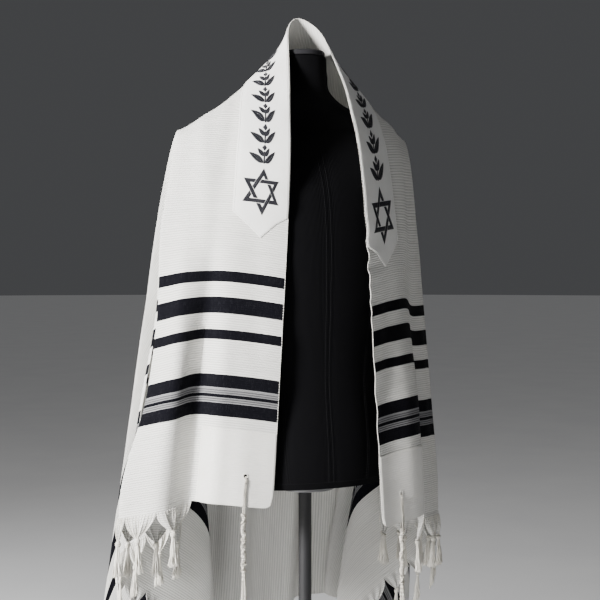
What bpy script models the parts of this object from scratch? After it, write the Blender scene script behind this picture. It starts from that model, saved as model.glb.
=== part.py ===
# A prayer shawl worn over the shoulders of a limbless dress form on a round stand.
# Metres, +Z up. The form faces -Y. The origin is the centre of the stand's flat underside.
import math

import bmesh
import bpy
import numpy as np
from mathutils import Matrix, Vector
from mathutils.bvhtree import BVHTree

# Flat cut of the cloth: along the neck edge, and down the back
CLOTH_LENGTH = 1.95
CLOTH_WIDTH = 1.20
CLOTH_WALL = 0.0010
SEAM_GAP = 0.0003

# Where the cloth turns over the shoulders, measured on the flat cloth
YOKE_HALF = 0.26
YOKE_DEPTH = 0.225
FRONT_DROP = CLOTH_LENGTH / 2 - YOKE_HALF
BACK_DROP = CLOTH_WIDTH - YOKE_DEPTH
CORNER_ANGLE = math.degrees(math.atan2(BACK_DROP, FRONT_DROP))

# The shoulder point, the middle of the upper back, and how far the cloth rounds over the shoulder
SHOULDER_POINT = (0.222, 0.045, 1.549)
BACK_POINT = (0.0, 0.122, 1.503)
SHOULDER_ROUND = 0.026
BACK_ROUND = 0.010
FRONT_BOW = 0.014
RIDGE_START = 0.065

# Neck edge from the peak behind the neck to the chest: half width, depth, height
NECK_EDGE = (
    ("peak", 0.000, 0.036, 1.742),
    ("arch", 0.020, 0.024, 1.732),
    ("over the cap", 0.036, 0.000, 1.706),
    ("beside the neck", 0.045, -0.026, 1.660),
    ("below the neck", 0.057, -0.058, 1.600),
    ("collar bone", 0.065, -0.078, 1.528),
    ("chest", 0.070, -0.088, 1.460),
)

# Front panel: distance from the neck edge, outward and backward lean in degrees, facing turn,
# how far the cloth comes forward over the chest, and over what length
FRONT_SECTIONS = {
    -1: (
        ("neck edge", 0.000, 3.3, 0.2, 8, 0.030, 0.080),
        ("band edge", 0.110, 5.0, -1.2, 22, 0.030, 0.070),
        ("valley", 0.180, 6.4, 0.6, 36, 0.028, 0.045),
        ("shoulder", YOKE_DEPTH, 8.2, -0.6, 48, SHOULDER_ROUND, SHOULDER_ROUND),
    ),
    1: (
        ("neck edge", 0.000, 3.3, 0.2, 8, 0.030, 0.080),
        ("band edge", 0.110, 4.0, -0.4, 24, 0.030, 0.070),
        ("valley", 0.180, 4.2, 1.4, 38, 0.028, 0.045),
        ("shoulder", YOKE_DEPTH, 5.4, 1.0, 50, SHOULDER_ROUND, SHOULDER_ROUND),
    ),
}

# Folds below the shoulder: angle on the flat cloth from the front, and the same two leans
SIDE_FOLDS = {
    -1: (
        ("outer front", 5, 10.0, 0.6),
        ("inner front", 18, -3.0, 3.0),
        ("outer middle", 32, 7.0, 5.4),
        ("inner middle", 48, -8.5, 7.6),
        ("outer back", 66, 6.0, 10.0),
        ("inner back", 78, -6.0, 11.4),
        ("back edge", 90, 1.5, 13.8),
    ),
    1: (
        ("outer front", 5, 7.2, 2.0),
        ("inner front", 18, -4.5, 4.2),
        ("outer middle", 32, 9.2, 6.6),
        ("inner middle", 48, -6.0, 8.2),
        ("outer back", 66, 7.0, 10.2),
        ("inner back", 78, -6.0, 11.6),
        ("back edge", 90, 1.5, 13.8),
    ),
}
FOLD_START = 0.20
BACK_LEAN = 7.5
BACK_FLUTES = 3
BACK_FLUTE_LEAN = 1.1

# How the hung cloth settles: name, side, then the four places across and the four places from the
# short end between which it starts and stops, and its shift outward, backward and upward
SETTLING = (
    ("right panel hangs lower", 1, (-2, -1, 0.30, 0.62), (-2, -1, 0.51, 0.72), (0.000, -0.004, -0.053)),
    ("right panel faces the front", 1, (0.025, 0.122, 0.130, 0.172), (-2, -1, 0.20, 0.47), (0.006, -0.024, 0.000)),
    ("right valley", 1, (0.128, 0.168, 0.176, 0.240), (-2, -1, 0.20, 0.52), (-0.004, 0.014, 0.000)),
    ("right outer front hangs lower", 1, (0.130, 0.172, 0.30, 0.60), (-2, -1, 0.34, 0.69), (0.000, 0.000, -0.026)),
    ("left outer front hangs lower", -1, (0.12, 0.26, 0.34, 0.60), (-2, -1, 0.18, 0.70), (0.004, -0.016, -0.028)),
    ("left valley", -1, (0.108, 0.138, 0.144, 0.196), (-2, -1, 0.18, 0.48), (0.002, 0.018, 0.000)),
    ("left ridge", -1, (0.146, 0.184, 0.194, 0.250), (-2, -1, 0.24, 0.52), (0.000, -0.020, 0.000)),
    ("left outer edge drawn in", -1, (0.16, 0.27, 0.34, 0.52), (0.05, 0.22, 0.32, 0.54), (-0.022, 0.000, 0.000)),
)

# Lines of the wall's grid
FRONT_COLUMNS = (0.0, 0.020, 0.055, 0.083, 0.110, 0.140, 0.170, 0.200, YOKE_DEPTH)
SIDE_COLUMNS = 34
BACK_COLUMNS = 16
ROWS = 18
ROW_CROWDING = 1.2
SMOOTH_PASSES = 2
YOKE_SMOOTH_PASSES = 5
YOKE_LOWEST = 1.40

# Sewn pieces
BAND_LENGTH = 0.985
BAND_WIDTH = 0.110
BAND_POINT = 0.043
BAND_WALL = 0.0012
BAND_LIFT = 0.0012
PATCH_LENGTH = 0.135
PATCH_WIDTH = 0.130
PATCH_WALL = 0.0010
PATCH_STEPS = 9
EDGE_INSET = 0.001
LIFT = 0.0006
BACK_PATCH_LIFT = 0.0012
EYELET_INSET = 0.055
EYELET_RADIUS = 0.0035

# Fringe of the short ends: a strip, then webs drawn to knots, then strands
FRINGE_STRIP = 0.008
FRINGE_GAP = 0.0030
FRINGE_PITCH = 0.054
FRINGE_WEB = 0.036
FRINGE_KNOT = 0.012
FRINGE_STRANDS = 4
FRINGE_STRAND_LENGTH = 0.058
FRINGE_SPREAD = 0.016
FRINGE_WALL = 0.0012
KNOT_WALL = 0.0060
KNOT_WIDTH = 0.0068
STRAND_WIDTH = 0.0022
FRINGE_CLOSEST = 0.004

# Corner strings
LOOP_RADIUS = 0.0010
WOUND_LENGTH = 0.105
WOUND_RADIUS = 0.0050
WOUND_WAIST = 0.0034
KNOT_ABOVE = 0.004
WOUND_KNOTS = 5
STRING_LENGTH = 0.170
STRING_COUNT = 8
STRING_RADIUS = 0.0011
STRING_ROOT = 0.0034
STRING_SPREAD = 0.010
LOOP_BELOW_HEM = 0.016
LOOP_STEPS = 3
LOOP_CLEARANCE = 0.0009

# Dress form: height, half width, half depth, middle depth
TORSO_SECTIONS = (
    ("bottom", 0.857, 0.148, 0.106, -0.011),
    ("hip", 0.900, 0.150, 0.107, -0.010),
    ("waist", 1.060, 0.136, 0.094, -0.006),
    ("ribs", 1.200, 0.152, 0.104, -0.002),
    ("chest", 1.330, 0.168, 0.110, 0.004),
    ("upper chest", 1.420, 0.180, 0.103, 0.014),
    ("arm line", 1.492, 0.206, 0.078, 0.030),
    ("shoulder end", 1.530, 0.200, 0.052, 0.040),
    ("shoulder", 1.553, 0.152, 0.046, 0.038),
    ("neck root", 1.574, 0.086, 0.050, 0.023),
    ("neck base", 1.592, 0.055, 0.047, 0.012),
    ("neck", 1.625, 0.045, 0.042, 0.007),
    ("neck top", 1.662, 0.041, 0.036, 0.002),
)
TORSO_SIDES = 32
CAP_RADIUS = 0.0385
CAP_HEIGHT = 0.010
REST_GAP = 0.0012
SHOULDER_ZONE = 0.080
NECK_ZONE = 0.085

# Stand
BASE_RADIUS = 0.170
BASE_HEIGHT = 0.012
HUB_RADIUS = 0.026
HUB_HEIGHT = 0.030
POLE_RADIUS = 0.0125
ROUND_SIDES = 32

COLOURS = {
    "shawl_cloth": ((0.86, 0.86, 0.83), 0.85),
    "neckband": ((0.90, 0.89, 0.84), 0.60),
    "corner_patch": ((0.88, 0.87, 0.82), 0.60),
    "fringe": ((0.88, 0.86, 0.80), 0.80),
    "corner_tassel": ((0.88, 0.86, 0.80), 0.75),
    "form": ((0.012, 0.012, 0.014), 0.90),
    "stand": ((0.020, 0.020, 0.022), 0.40),
}


def clear_scene():
    for thing in list(bpy.data.objects):
        bpy.data.objects.remove(thing, do_unlink=True)


def collection(name, hidden=False):
    group = bpy.data.collections.new(name)
    bpy.context.scene.collection.children.link(group)
    group.hide_render = hidden
    return group


def material(name, kind):
    colour, roughness = COLOURS[kind]
    made = bpy.data.materials.new(name)
    made.use_nodes = True
    shader = made.node_tree.nodes["Principled BSDF"]
    shader.inputs["Base Color"].default_value = (*colour, 1.0)
    shader.inputs["Roughness"].default_value = roughness
    shader.inputs["Metallic"].default_value = 0.0
    made.diffuse_color = (*colour, 1.0)
    return made


def mesh_object(name, points, faces, kind, group):
    mesh = bpy.data.meshes.new(name)
    mesh.from_pydata([tuple(map(float, p)) for p in points], [], faces)
    mesh.validate()
    mesh.shade_smooth()
    thing = bpy.data.objects.new(name, mesh)
    if kind:
        mesh.materials.append(material(name, kind))
    group.objects.link(thing)
    return thing


def eased(positions, values, where):
    """Reads a table row by row, with a level turn at every row, so that folds are round."""
    where = np.asarray(where, float)
    place = np.clip(np.searchsorted(positions, where, side="right") - 1, 0, len(positions) - 2)
    start = np.take(positions, place)
    share = (where - start) / (np.take(positions, place + 1) - start)
    share = np.clip(share, 0, 1)
    share = share * share * (3 - 2 * share)
    return np.take(values, place) * (1 - share) + np.take(values, place + 1) * share


def between(places, where):
    """Rises from 0 to 1 between the first two places, and falls again between the last two."""
    rise = np.clip((where - places[0]) / (places[1] - places[0]), 0, 1)
    fall = np.clip((places[3] - where) / (places[3] - places[2]), 0, 1)
    return rise * rise * (3 - 2 * rise) * fall * fall * (3 - 2 * fall)


def column(rows, index):
    return np.array([row[index] for row in rows], float)


def mirrored(point, side):
    return np.array([point[0] * side, point[1], point[2]], float)


def neck_edge_point(distance, side):
    """A point of the neck edge at a distance along it from the peak."""
    knots = np.array([row[1:] for row in NECK_EDGE])
    steps = np.linalg.norm(np.diff(knots, axis=0), axis=1)
    along = np.concatenate([[0], np.cumsum(steps)])
    point = np.array([np.interp(distance, along, knots[:, axis]) for axis in range(3)])
    return mirrored(point, side)


def front_top_point(across, side):
    """The line over the collar bone, from the neck edge to the shoulder point."""
    share = across / YOKE_DEPTH
    start = neck_edge_point(YOKE_HALF, side)
    end = mirrored(SHOULDER_POINT, side)
    bow = 4 * share * (1 - share) * FRONT_BOW
    return start * (1 - share) + end * share + np.array([0.0, -bow, 0.3 * bow])


def back_top_point(along):
    """The line over the upper back; along runs from -1 at the left shoulder to 1 at the right."""
    shoulder = np.array(SHOULDER_POINT)
    back = np.array(BACK_POINT)
    round_share = 1 - abs(along) ** 2.2
    depth = shoulder[1] + (back[1] - shoulder[1]) * round_share
    height = shoulder[2] + (back[2] - shoulder[2]) * round_share
    return np.array([shoulder[0] * along, depth, height])


def hanging_point(top, side, distance, leans, plain, turn, rounding, length):
    """A point of cloth at a distance below a point of the top line."""
    ready = min(1.0, distance / FOLD_START)
    ready = ready * ready * (3 - 2 * ready)
    out_lean, back_lean = (p + (lean - p) * ready for lean, p in zip(leans, plain))
    bulge = rounding * (1 - math.exp(-distance / length))
    out = distance * math.tan(math.radians(out_lean)) + bulge * math.sin(math.radians(turn))
    back = distance * math.tan(math.radians(back_lean)) - bulge * math.cos(math.radians(turn))
    drop = distance - 0.30 * bulge
    return top + np.array([side * out, back, -drop])


def row_share(row):
    return (row / ROWS) ** ROW_CROWDING


def front_columns(side):
    """Columns of the front panel, each a list of points from the top line to the hem."""
    rows = FRONT_SECTIONS[side]
    flat = column(rows, 1)
    made = []
    for across in FRONT_COLUMNS:
        values = [float(np.interp(across, flat, column(rows, i))) for i in range(2, 7)]
        leans, shape = values[:2], values[2:]
        top = front_top_point(across, side)
        made.append([
            hanging_point(top, side, FRONT_DROP * row_share(r), leans, leans, *shape)
            for r in range(ROWS + 1)
        ])
    return made


def side_angles():
    """Angles of the side columns, one of them exactly at the cloth's corner."""
    angles = np.linspace(0, 90, SIDE_COLUMNS + 1)
    angles[np.argmin(abs(angles - CORNER_ANGLE))] = CORNER_ANGLE
    return angles


def side_reach(angle):
    """Distance from the shoulder point to the cloth's edge."""
    turned = math.radians(angle)
    to_front_hem = FRONT_DROP / max(math.cos(turned), 1e-9)
    to_back_hem = BACK_DROP / max(math.sin(turned), 1e-9)
    return min(to_front_hem, to_back_hem)


def side_leans(side, angle):
    last = FRONT_SECTIONS[side][-1]
    rows = [(last[0], 0.0, last[2], last[3]), *SIDE_FOLDS[side]]
    flat = column(rows, 1)
    out_lean = float(eased(flat, column(rows, 2), angle))
    back_lean = float(np.interp(angle, flat, column(rows, 3)))
    share = angle / 90
    out_plain = rows[0][2] * (1 - share) + rows[-1][2] * share
    back_plain = rows[0][3] * (1 - share) + rows[-1][3] * share
    turn = last[4] + (135 - last[4]) * share
    return (out_lean, back_lean), (out_plain, back_plain), turn


def side_point(side, angle, distance):
    leans, plain, turn = side_leans(side, angle)
    top = mirrored(SHOULDER_POINT, side)
    return hanging_point(top, side, distance, leans, plain, turn, SHOULDER_ROUND, SHOULDER_ROUND)


def side_columns(side):
    return [
        [side_point(side, angle, side_reach(angle) * row_share(r)) for r in range(ROWS + 1)]
        for angle in side_angles()
    ]


def back_columns():
    """Columns of the back from the left shoulder to the right."""
    edge = SIDE_FOLDS[1][-1]
    made = []
    for place in np.linspace(-1, 1, BACK_COLUMNS + 1):
        middle = (1 - place * place) ** 2
        flute = BACK_FLUTE_LEAN * middle * math.cos(BACK_FLUTES * math.pi * place)
        back_lean = edge[3] * (1 - middle) + BACK_LEAN * middle + flute
        leans = (edge[2] * abs(place), back_lean)
        turn = 180 - 45 * abs(place)
        rounding = BACK_ROUND * middle + SHOULDER_ROUND * (1 - middle)
        side = 1 if place > 0 else -1
        top = back_top_point(place)
        made.append([
            hanging_point(top, side, BACK_DROP * row_share(r), leans, leans, turn, rounding, rounding)
            for r in range(ROWS + 1)
        ])
    return made


def yoke_point(along, across):
    """The cloth stretched straight from the neck edge to the shoulders, over a ridge on each side."""
    side = 1 if along > 0 else -1
    from_front = YOKE_HALF - abs(along)
    ridge = RIDGE_START + (YOKE_HALF - RIDGE_START) * across / YOKE_DEPTH
    if abs(along) > ridge:
        span = (YOKE_HALF - RIDGE_START) * across
        share = span / (from_front * YOKE_DEPTH + span) if span > 0 else 0.0
        start = YOKE_HALF - from_front / max(1 - share, 1e-6) if share < 1 else YOKE_HALF
        end = front_top_point(across / share if share > 0 else 0.0, side)
        return neck_edge_point(start, side) * (1 - share) + end * share
    share = across / YOKE_DEPTH
    keep = RIDGE_START / YOKE_HALF
    end = along / (keep * (1 - share) + share)
    start = neck_edge_point(abs(end) * keep, side)
    return start * (1 - share) + back_top_point(end / YOKE_HALF) * share


def yoke_grid():
    """The cloth between the neck edge and the shoulders: rows down, columns left to right."""
    places = np.linspace(-YOKE_HALF, YOKE_HALF, BACK_COLUMNS + 1)
    grid = [[yoke_point(place, across) for place in places] for across in FRONT_COLUMNS]
    for i, across in enumerate(FRONT_COLUMNS):
        grid[i][0] = front_top_point(across, -1)
        grid[i][-1] = front_top_point(across, 1)
    return grid


class Weave:
    """The cloth's surface as one welded grid, with ways to read a point of it."""

    def __init__(self):
        self.points = []
        self.faces = []
        self.known = {}
        self.front = {s: self.add_columns(front_columns(s), s < 0) for s in (-1, 1)}
        self.side = {s: self.add_columns(side_columns(s), s < 0) for s in (-1, 1)}
        self.back = self.add_columns(back_columns(), True)
        self.yoke = self.add_columns(yoke_grid(), False)
        self.points = np.array(self.points)
        self.smooth()
        self.settle()

    def index(self, point):
        key = tuple(np.round(point, 6))
        if key not in self.known:
            self.known[key] = len(self.points)
            self.points.append(point)
        return self.known[key]

    def add_columns(self, columns, flipped):
        grid = [[self.index(point) for point in line] for line in columns]
        for a, b in zip(grid, grid[1:]):
            for r in range(len(a) - 1):
                face = [a[r], a[r + 1], b[r + 1], b[r]]
                face = [v for k, v in enumerate(face) if v != face[k - 1]]
                if len(face) > 2:
                    self.faces.append(face[::-1] if flipped else face)
        return np.array(grid)

    def smooth(self):
        """Softens the creases where the panels meet. Points of the edge slide along the edge."""
        uses = {}
        for face in self.faces:
            for k, v in enumerate(face):
                pair = tuple(sorted((face[k - 1], v)))
                uses[pair] = uses.get(pair, 0) + 1
        rim_pairs = np.array([pair for pair, count in uses.items() if count == 1])
        rim = np.unique(rim_pairs)
        corners = [grid[line][-1] for grid in self.side.values() for line in (self.corner_line(),)]
        corners += [grid[0][-1] for grid in self.front.values()]
        inside = np.setdiff1d(np.arange(len(self.points)), rim)
        high = inside[self.points[inside, 2] > YOKE_LOWEST]
        hem = np.setdiff1d(rim[self.points[rim, 2] < YOKE_LOWEST], corners)
        for _ in range(SMOOTH_PASSES):
            self.relax(np.array(list(uses)), inside)
            self.relax(rim_pairs, hem)
        for _ in range(YOKE_SMOOTH_PASSES):
            self.relax(np.array(list(uses)), high)

    def flat_places(self):
        """Side, distance from the short end and from the neck edge, of each point of the two sides."""
        flat = np.full((len(self.points), 3), CLOTH_LENGTH)
        for side in (-1, 1):
            for line, across in zip(self.front[side], FRONT_COLUMNS):
                for r, v in enumerate(line):
                    flat[v] = side, FRONT_DROP * (1 - row_share(r)), across
            for line, angle in zip(self.side[side], np.radians(side_angles())):
                reach = side_reach(math.degrees(angle))
                for r, v in enumerate(line):
                    far = reach * row_share(r)
                    flat[v] = side, FRONT_DROP - far * math.cos(angle), YOKE_DEPTH + far * math.sin(angle)
        return flat

    def settle(self):
        """Moves parts of the hanging cloth out of the even drape, as its weight pulls it."""
        flat = self.flat_places()
        for _, side, over, down, (out, back, up) in SETTLING:
            share = between(over, flat[:, 2]) * between(down, flat[:, 1]) * (flat[:, 0] == side)
            self.points += share[:, None] * np.array([side * out, back, up])

    def corner_line(self):
        return int(np.argmin(abs(side_angles() - CORNER_ANGLE)))

    def relax(self, pairs, free):
        total = np.zeros_like(self.points)
        count = np.zeros(len(self.points))
        for a, b in ((0, 1), (1, 0)):
            np.add.at(total, pairs[:, a], self.points[pairs[:, b]])
            np.add.at(count, pairs[:, a], 1)
        self.points[free] = 0.5 * (self.points[free] + total[free] / count[free][:, None])

    def read(self, grid, line, row):
        """A point of a grid, between four of its points."""
        line = min(max(line, 0.0), len(grid) - 1.0)
        row = min(max(row, 0.0), len(grid[0]) - 1.0)
        i = min(int(line), len(grid) - 2)
        j = min(int(row), len(grid[0]) - 2)
        a, b = line - i, row - j
        p = self.points
        near = p[grid[i][j]] * (1 - b) + p[grid[i][j + 1]] * b
        far = p[grid[i + 1][j]] * (1 - b) + p[grid[i + 1][j + 1]] * b
        return near * (1 - a) + far * a

    def at(self, side, from_end, across):
        """The cloth's point at a distance from a short end and across from the neck edge."""
        above = FRONT_DROP - from_end
        if across <= YOKE_DEPTH:
            line = float(np.interp(across, FRONT_COLUMNS, range(len(FRONT_COLUMNS))))
            if above >= 0:
                row = ROWS * (above / FRONT_DROP) ** (1 / ROW_CROWDING)
                return self.read(self.front[side], line, row)
            place = side * (1 + above / YOKE_HALF)
            return self.read(self.yoke, line, (place + 1) / 2 * BACK_COLUMNS)
        behind = across - YOKE_DEPTH
        if above >= 0:
            angle = math.degrees(math.atan2(behind, above))
            line = float(np.interp(angle, side_angles(), range(SIDE_COLUMNS + 1)))
            share = math.hypot(behind, above) / side_reach(angle)
            return self.read(self.side[side], line, ROWS * share ** (1 / ROW_CROWDING))
        line = (side * (1 + above / YOKE_HALF) + 1) / 2 * BACK_COLUMNS
        return self.read(self.back, line, ROWS * (behind / BACK_DROP) ** (1 / ROW_CROWDING))

    def outward(self, side, from_end, across, step=0.004):
        """The direction away from the wearer at a point of the cloth."""
        low = max(from_end - step, 0.0)
        near = max(across - step, 0.0)
        far = min(across + step, CLOTH_WIDTH)
        along = self.at(side, from_end + step, across) - self.at(side, low, across)
        over = self.at(side, from_end, far) - self.at(side, from_end, near)
        normal = np.cross(over, along) * side
        return normal / np.linalg.norm(normal)

    def raised(self, side, from_end, across, lift):
        normal = self.outward(side, from_end, across)
        return self.at(side, from_end, across) + (0.5 * CLOTH_WALL + lift) * normal


def split_faces(thing):
    """Turns four-sided faces into triangles the same way on the wall and on what is sewn to it."""
    split = thing.modifiers.new("Split", "TRIANGULATE")
    split.quad_method = "SHORTEST_DIAGONAL"


def solidify(thing, wall, offset=0.0):
    thickness = thing.modifiers.new("Wall", "SOLIDIFY")
    thickness.thickness = wall
    thickness.offset = offset
    thickness.use_even_offset = False
    return thickness


def cut(thing, cutter):
    hole = thing.modifiers.new("Eyelet", "BOOLEAN")
    hole.operation = "DIFFERENCE"
    hole.solver = "EXACT"
    hole.object = cutter


def grid_faces(lines, rows, flipped=False):
    made = []
    for i in range(lines - 1):
        for j in range(rows - 1):
            face = [i * rows + j, i * rows + j + 1, (i + 1) * rows + j + 1, (i + 1) * rows + j]
            made.append(face[::-1] if flipped else face)
    return made


def make_cloth(weave, group):
    thing = mesh_object("shawl_cloth", weave.points, weave.faces, "shawl_cloth", group)
    split_faces(thing)
    solidify(thing, CLOTH_WALL)
    return thing


def lines_between(low, high, lines):
    """The wall's own grid lines from low to high, so that a piece on it bends where it bends."""
    return [low, *(line for line in sorted(lines) if low + 0.003 < line < high - 0.003), high]


def row_distances():
    return [FRONT_DROP * (1 - row_share(r)) for r in range(ROWS + 1)]


def band_rows():
    """Distances from the short end along one half of the band, with its pointed end."""
    half = BAND_LENGTH / 2
    tip = CLOTH_LENGTH / 2 - half
    shoulder = tip + BAND_POINT
    front = lines_between(shoulder, FRONT_DROP, row_distances())
    back = [FRONT_DROP + k * YOKE_HALF / (BACK_COLUMNS / 2) for k in range(1, BACK_COLUMNS // 2 + 1)]
    return tip, front + back


def make_neckband(weave, group):
    across = lines_between(EDGE_INSET, BAND_WIDTH, FRONT_COLUMNS)
    wide = len(across)
    tip, rows = band_rows()
    points = []
    for side, distances in ((-1, rows), (1, rows[-2::-1])):
        for distance in distances:
            points += [weave.raised(side, distance, a, SEAM_GAP + BAND_LIFT) for a in across]
    faces = grid_faces(len(points) // wide, wide, flipped=True)
    last = len(points) - wide
    points += [weave.raised(side, tip, across[wide // 2], SEAM_GAP + BAND_LIFT) for side in (-1, 1)]
    for k in range(wide - 1):
        faces.append([k, k + 1, len(points) - 2])
        faces.append([last + k + 1, last + k, len(points) - 1])
    thing = mesh_object("neckband", points, faces, "neckband", group)
    split_faces(thing)
    solidify(thing, BAND_WALL, 1.0)
    return thing


CORNERS = (
    ("front_left", -1, False),
    ("front_right", 1, False),
    ("back_left", -1, True),
    ("back_right", 1, True),
)


def corner_place(at_back, across):
    return CLOTH_WIDTH - across if at_back else across


def make_patch(weave, name, side, at_back, group):
    if at_back:
        wide = np.linspace(EDGE_INSET, PATCH_WIDTH, PATCH_STEPS)
        long = np.linspace(EDGE_INSET, PATCH_LENGTH, PATCH_STEPS)
    else:
        wide = lines_between(EDGE_INSET, PATCH_WIDTH, FRONT_COLUMNS)
        long = lines_between(EDGE_INSET, PATCH_LENGTH, row_distances())
    lift = SEAM_GAP + (BACK_PATCH_LIFT if at_back else LIFT)
    points = [weave.raised(side, from_end, corner_place(at_back, across), lift)
              for across in wide for from_end in long]
    flipped = (side > 0) != at_back
    faces = grid_faces(len(wide), len(long), flipped)
    thing = mesh_object(f"corner_patch_{name}", points, faces, "corner_patch", group)
    split_faces(thing)
    solidify(thing, PATCH_WALL, 1.0)
    return thing


def make_eyelet_cutter(weave, name, side, at_back, group):
    across = corner_place(at_back, EYELET_INSET)
    middle = weave.at(side, EYELET_INSET, across)
    normal = Vector(weave.outward(side, EYELET_INSET, across))
    bm = bmesh.new()
    bmesh.ops.create_cone(bm, cap_ends=True, segments=12, radius1=EYELET_RADIUS,
                          radius2=EYELET_RADIUS, depth=0.014)
    turn = normal.to_track_quat("Z", "Y").to_matrix().to_4x4()
    bmesh.ops.transform(bm, matrix=Matrix.Translation(Vector(middle)) @ turn, verts=bm.verts)
    mesh = bpy.data.meshes.new(f"eyelet_{name}")
    bm.to_mesh(mesh)
    bm.free()
    cutter = bpy.data.objects.new(f"eyelet_{name}", mesh)
    cutter.hide_render = True
    cutter.display_type = "WIRE"
    group.objects.link(cutter)
    return cutter


def fringe_places():
    """Where the knots of one short end hang, across the cloth, between its two patches."""
    start, end = PATCH_WIDTH + 0.006, CLOTH_WIDTH - PATCH_WIDTH - 0.006
    count = int((end - start) / FRINGE_PITCH)
    pitch = (end - start) / count
    return start, pitch, count


def hem_marks(low, high):
    """Points across one tassel: even joints, and each place where the cloth's wall bends."""
    bends = [*FRONT_COLUMNS]
    bends += [YOKE_DEPTH + FRONT_DROP * math.tan(math.radians(a)) for a in side_angles() if a < 60]
    bends = [b for b in bends if low + FRINGE_CLOSEST < b < high - FRINGE_CLOSEST]
    joints = [low + (high - low) * k / FRINGE_STRANDS for k in range(1, FRINGE_STRANDS)]
    joints = [j for j in joints if all(abs(j - b) > FRINGE_CLOSEST for b in bends)]
    marks = sorted(bends + joints)
    if len(marks) < FRINGE_STRANDS - 1:
        marks.append(0.5 * (marks[-1] + high))
    return [low, *marks, high]


def make_fringe(weave, side, group):
    """One strip just below the short end, with webs drawn to knots and strands below them."""
    start, pitch, count = fringe_places()
    points, faces, knot_points = [], [], []
    down = np.array([0.0, 0.0, -1.0])

    def add(point):
        points.append(point)
        return len(points) - 1

    def edge(across, drop):
        place = weave.at(side, 0.0, across)
        fall = place - weave.at(side, 0.03, across) + 0.02 * down
        return place + (FRINGE_GAP + drop) * fall / np.linalg.norm(fall)

    last_top, last_low = add(edge(start, 0.0)), add(edge(start, FRINGE_STRIP))
    for tassel in range(count):
        marks = hem_marks(start + tassel * pitch, start + (tassel + 1) * pitch)
        top = [last_top] + [add(edge(across, 0.0)) for across in marks[1:]]
        low = [last_low] + [add(edge(across, FRINGE_STRIP)) for across in marks[1:]]
        last_top, last_low = top[-1], low[-1]
        middle = start + (tassel + 0.5) * pitch
        over = weave.at(side, 0.0, middle + pitch / 2) - weave.at(side, 0.0, middle - pitch / 2)
        over /= np.linalg.norm(over)
        out = weave.outward(side, 0.0, middle)
        under = edge(middle, FRINGE_STRIP) + FRINGE_WEB * down
        spans = len(marks) - 1
        steps = [(k / spans - 0.5) * KNOT_WIDTH for k in range(spans + 1)]
        knot_top = [add(under + step * over) for step in steps]
        knot_low = [add(points[i] + FRINGE_KNOT * down) for i in knot_top]
        knot_points += knot_top[1:-1] + knot_low[1:-1]
        for k in range(spans):
            faces.append([top[k], top[k + 1], low[k + 1], low[k]])
            faces.append([low[k], low[k + 1], knot_top[k + 1], knot_top[k]])
            faces.append([knot_top[k], knot_top[k + 1], knot_low[k + 1], knot_low[k]])
        for strand in range(FRINGE_STRANDS):
            k = round(strand * (spans - 1) / (FRINGE_STRANDS - 1))
            share = (strand + 0.5) / FRINGE_STRANDS - 0.5
            lean = FRINGE_SPREAD * (0.3 if strand % 2 else -0.3)
            foot = FRINGE_STRAND_LENGTH * down + share * FRINGE_SPREAD * over + lean * out
            base = 0.5 * (points[knot_low[k]] + points[knot_low[k + 1]])
            half = 0.5 * STRAND_WIDTH * over
            ends = [add(base + foot - half), add(base + foot + half)]
            faces.append([knot_low[k], knot_low[k + 1], ends[1], ends[0]])
    if side < 0:
        faces = [face[::-1] for face in faces]
    thing = mesh_object(f"fringe_{'left' if side < 0 else 'right'}", points, faces, "fringe", group)
    knots = thing.vertex_groups.new(name="knots")
    knots.add(list(range(len(points))), FRINGE_WALL / KNOT_WALL, "REPLACE")
    knots.add(knot_points, 1.0, "REPLACE")
    wall = solidify(thing, KNOT_WALL)
    wall.vertex_group = "knots"
    return thing


def tube(bm, path, radii, sides=4):
    """A closed tube of few sides through the points of a path."""
    rings = []
    path = [Vector(p) for p in path]
    lean = Vector((0.31, 0.95, 0.05))
    for k, point in enumerate(path):
        ahead = path[min(k + 1, len(path) - 1)] - path[max(k - 1, 0)]
        first = ahead.cross(lean).normalized()
        second = ahead.cross(first).normalized()
        ring = []
        for n in range(sides):
            turn = 2 * math.pi * n / sides
            offset = first * math.cos(turn) + second * math.sin(turn)
            ring.append(bm.verts.new(point + offset * radii[k]))
        rings.append(ring)
    for a, b in zip(rings, rings[1:]):
        for n in range(sides):
            bm.faces.new((a[n], a[n - 1], b[n - 1], b[n]))
    bm.faces.new(rings[0])
    bm.faces.new(rings[-1][::-1])


def tube_object(name, path, radii, sides, group):
    bm = bmesh.new()
    tube(bm, path, radii, sides)
    bmesh.ops.recalc_face_normals(bm, faces=bm.faces)
    mesh = bpy.data.meshes.new(name)
    bm.to_mesh(mesh)
    bm.free()
    thing = bpy.data.objects.new(name, mesh)
    group.objects.link(thing)
    return thing


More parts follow.
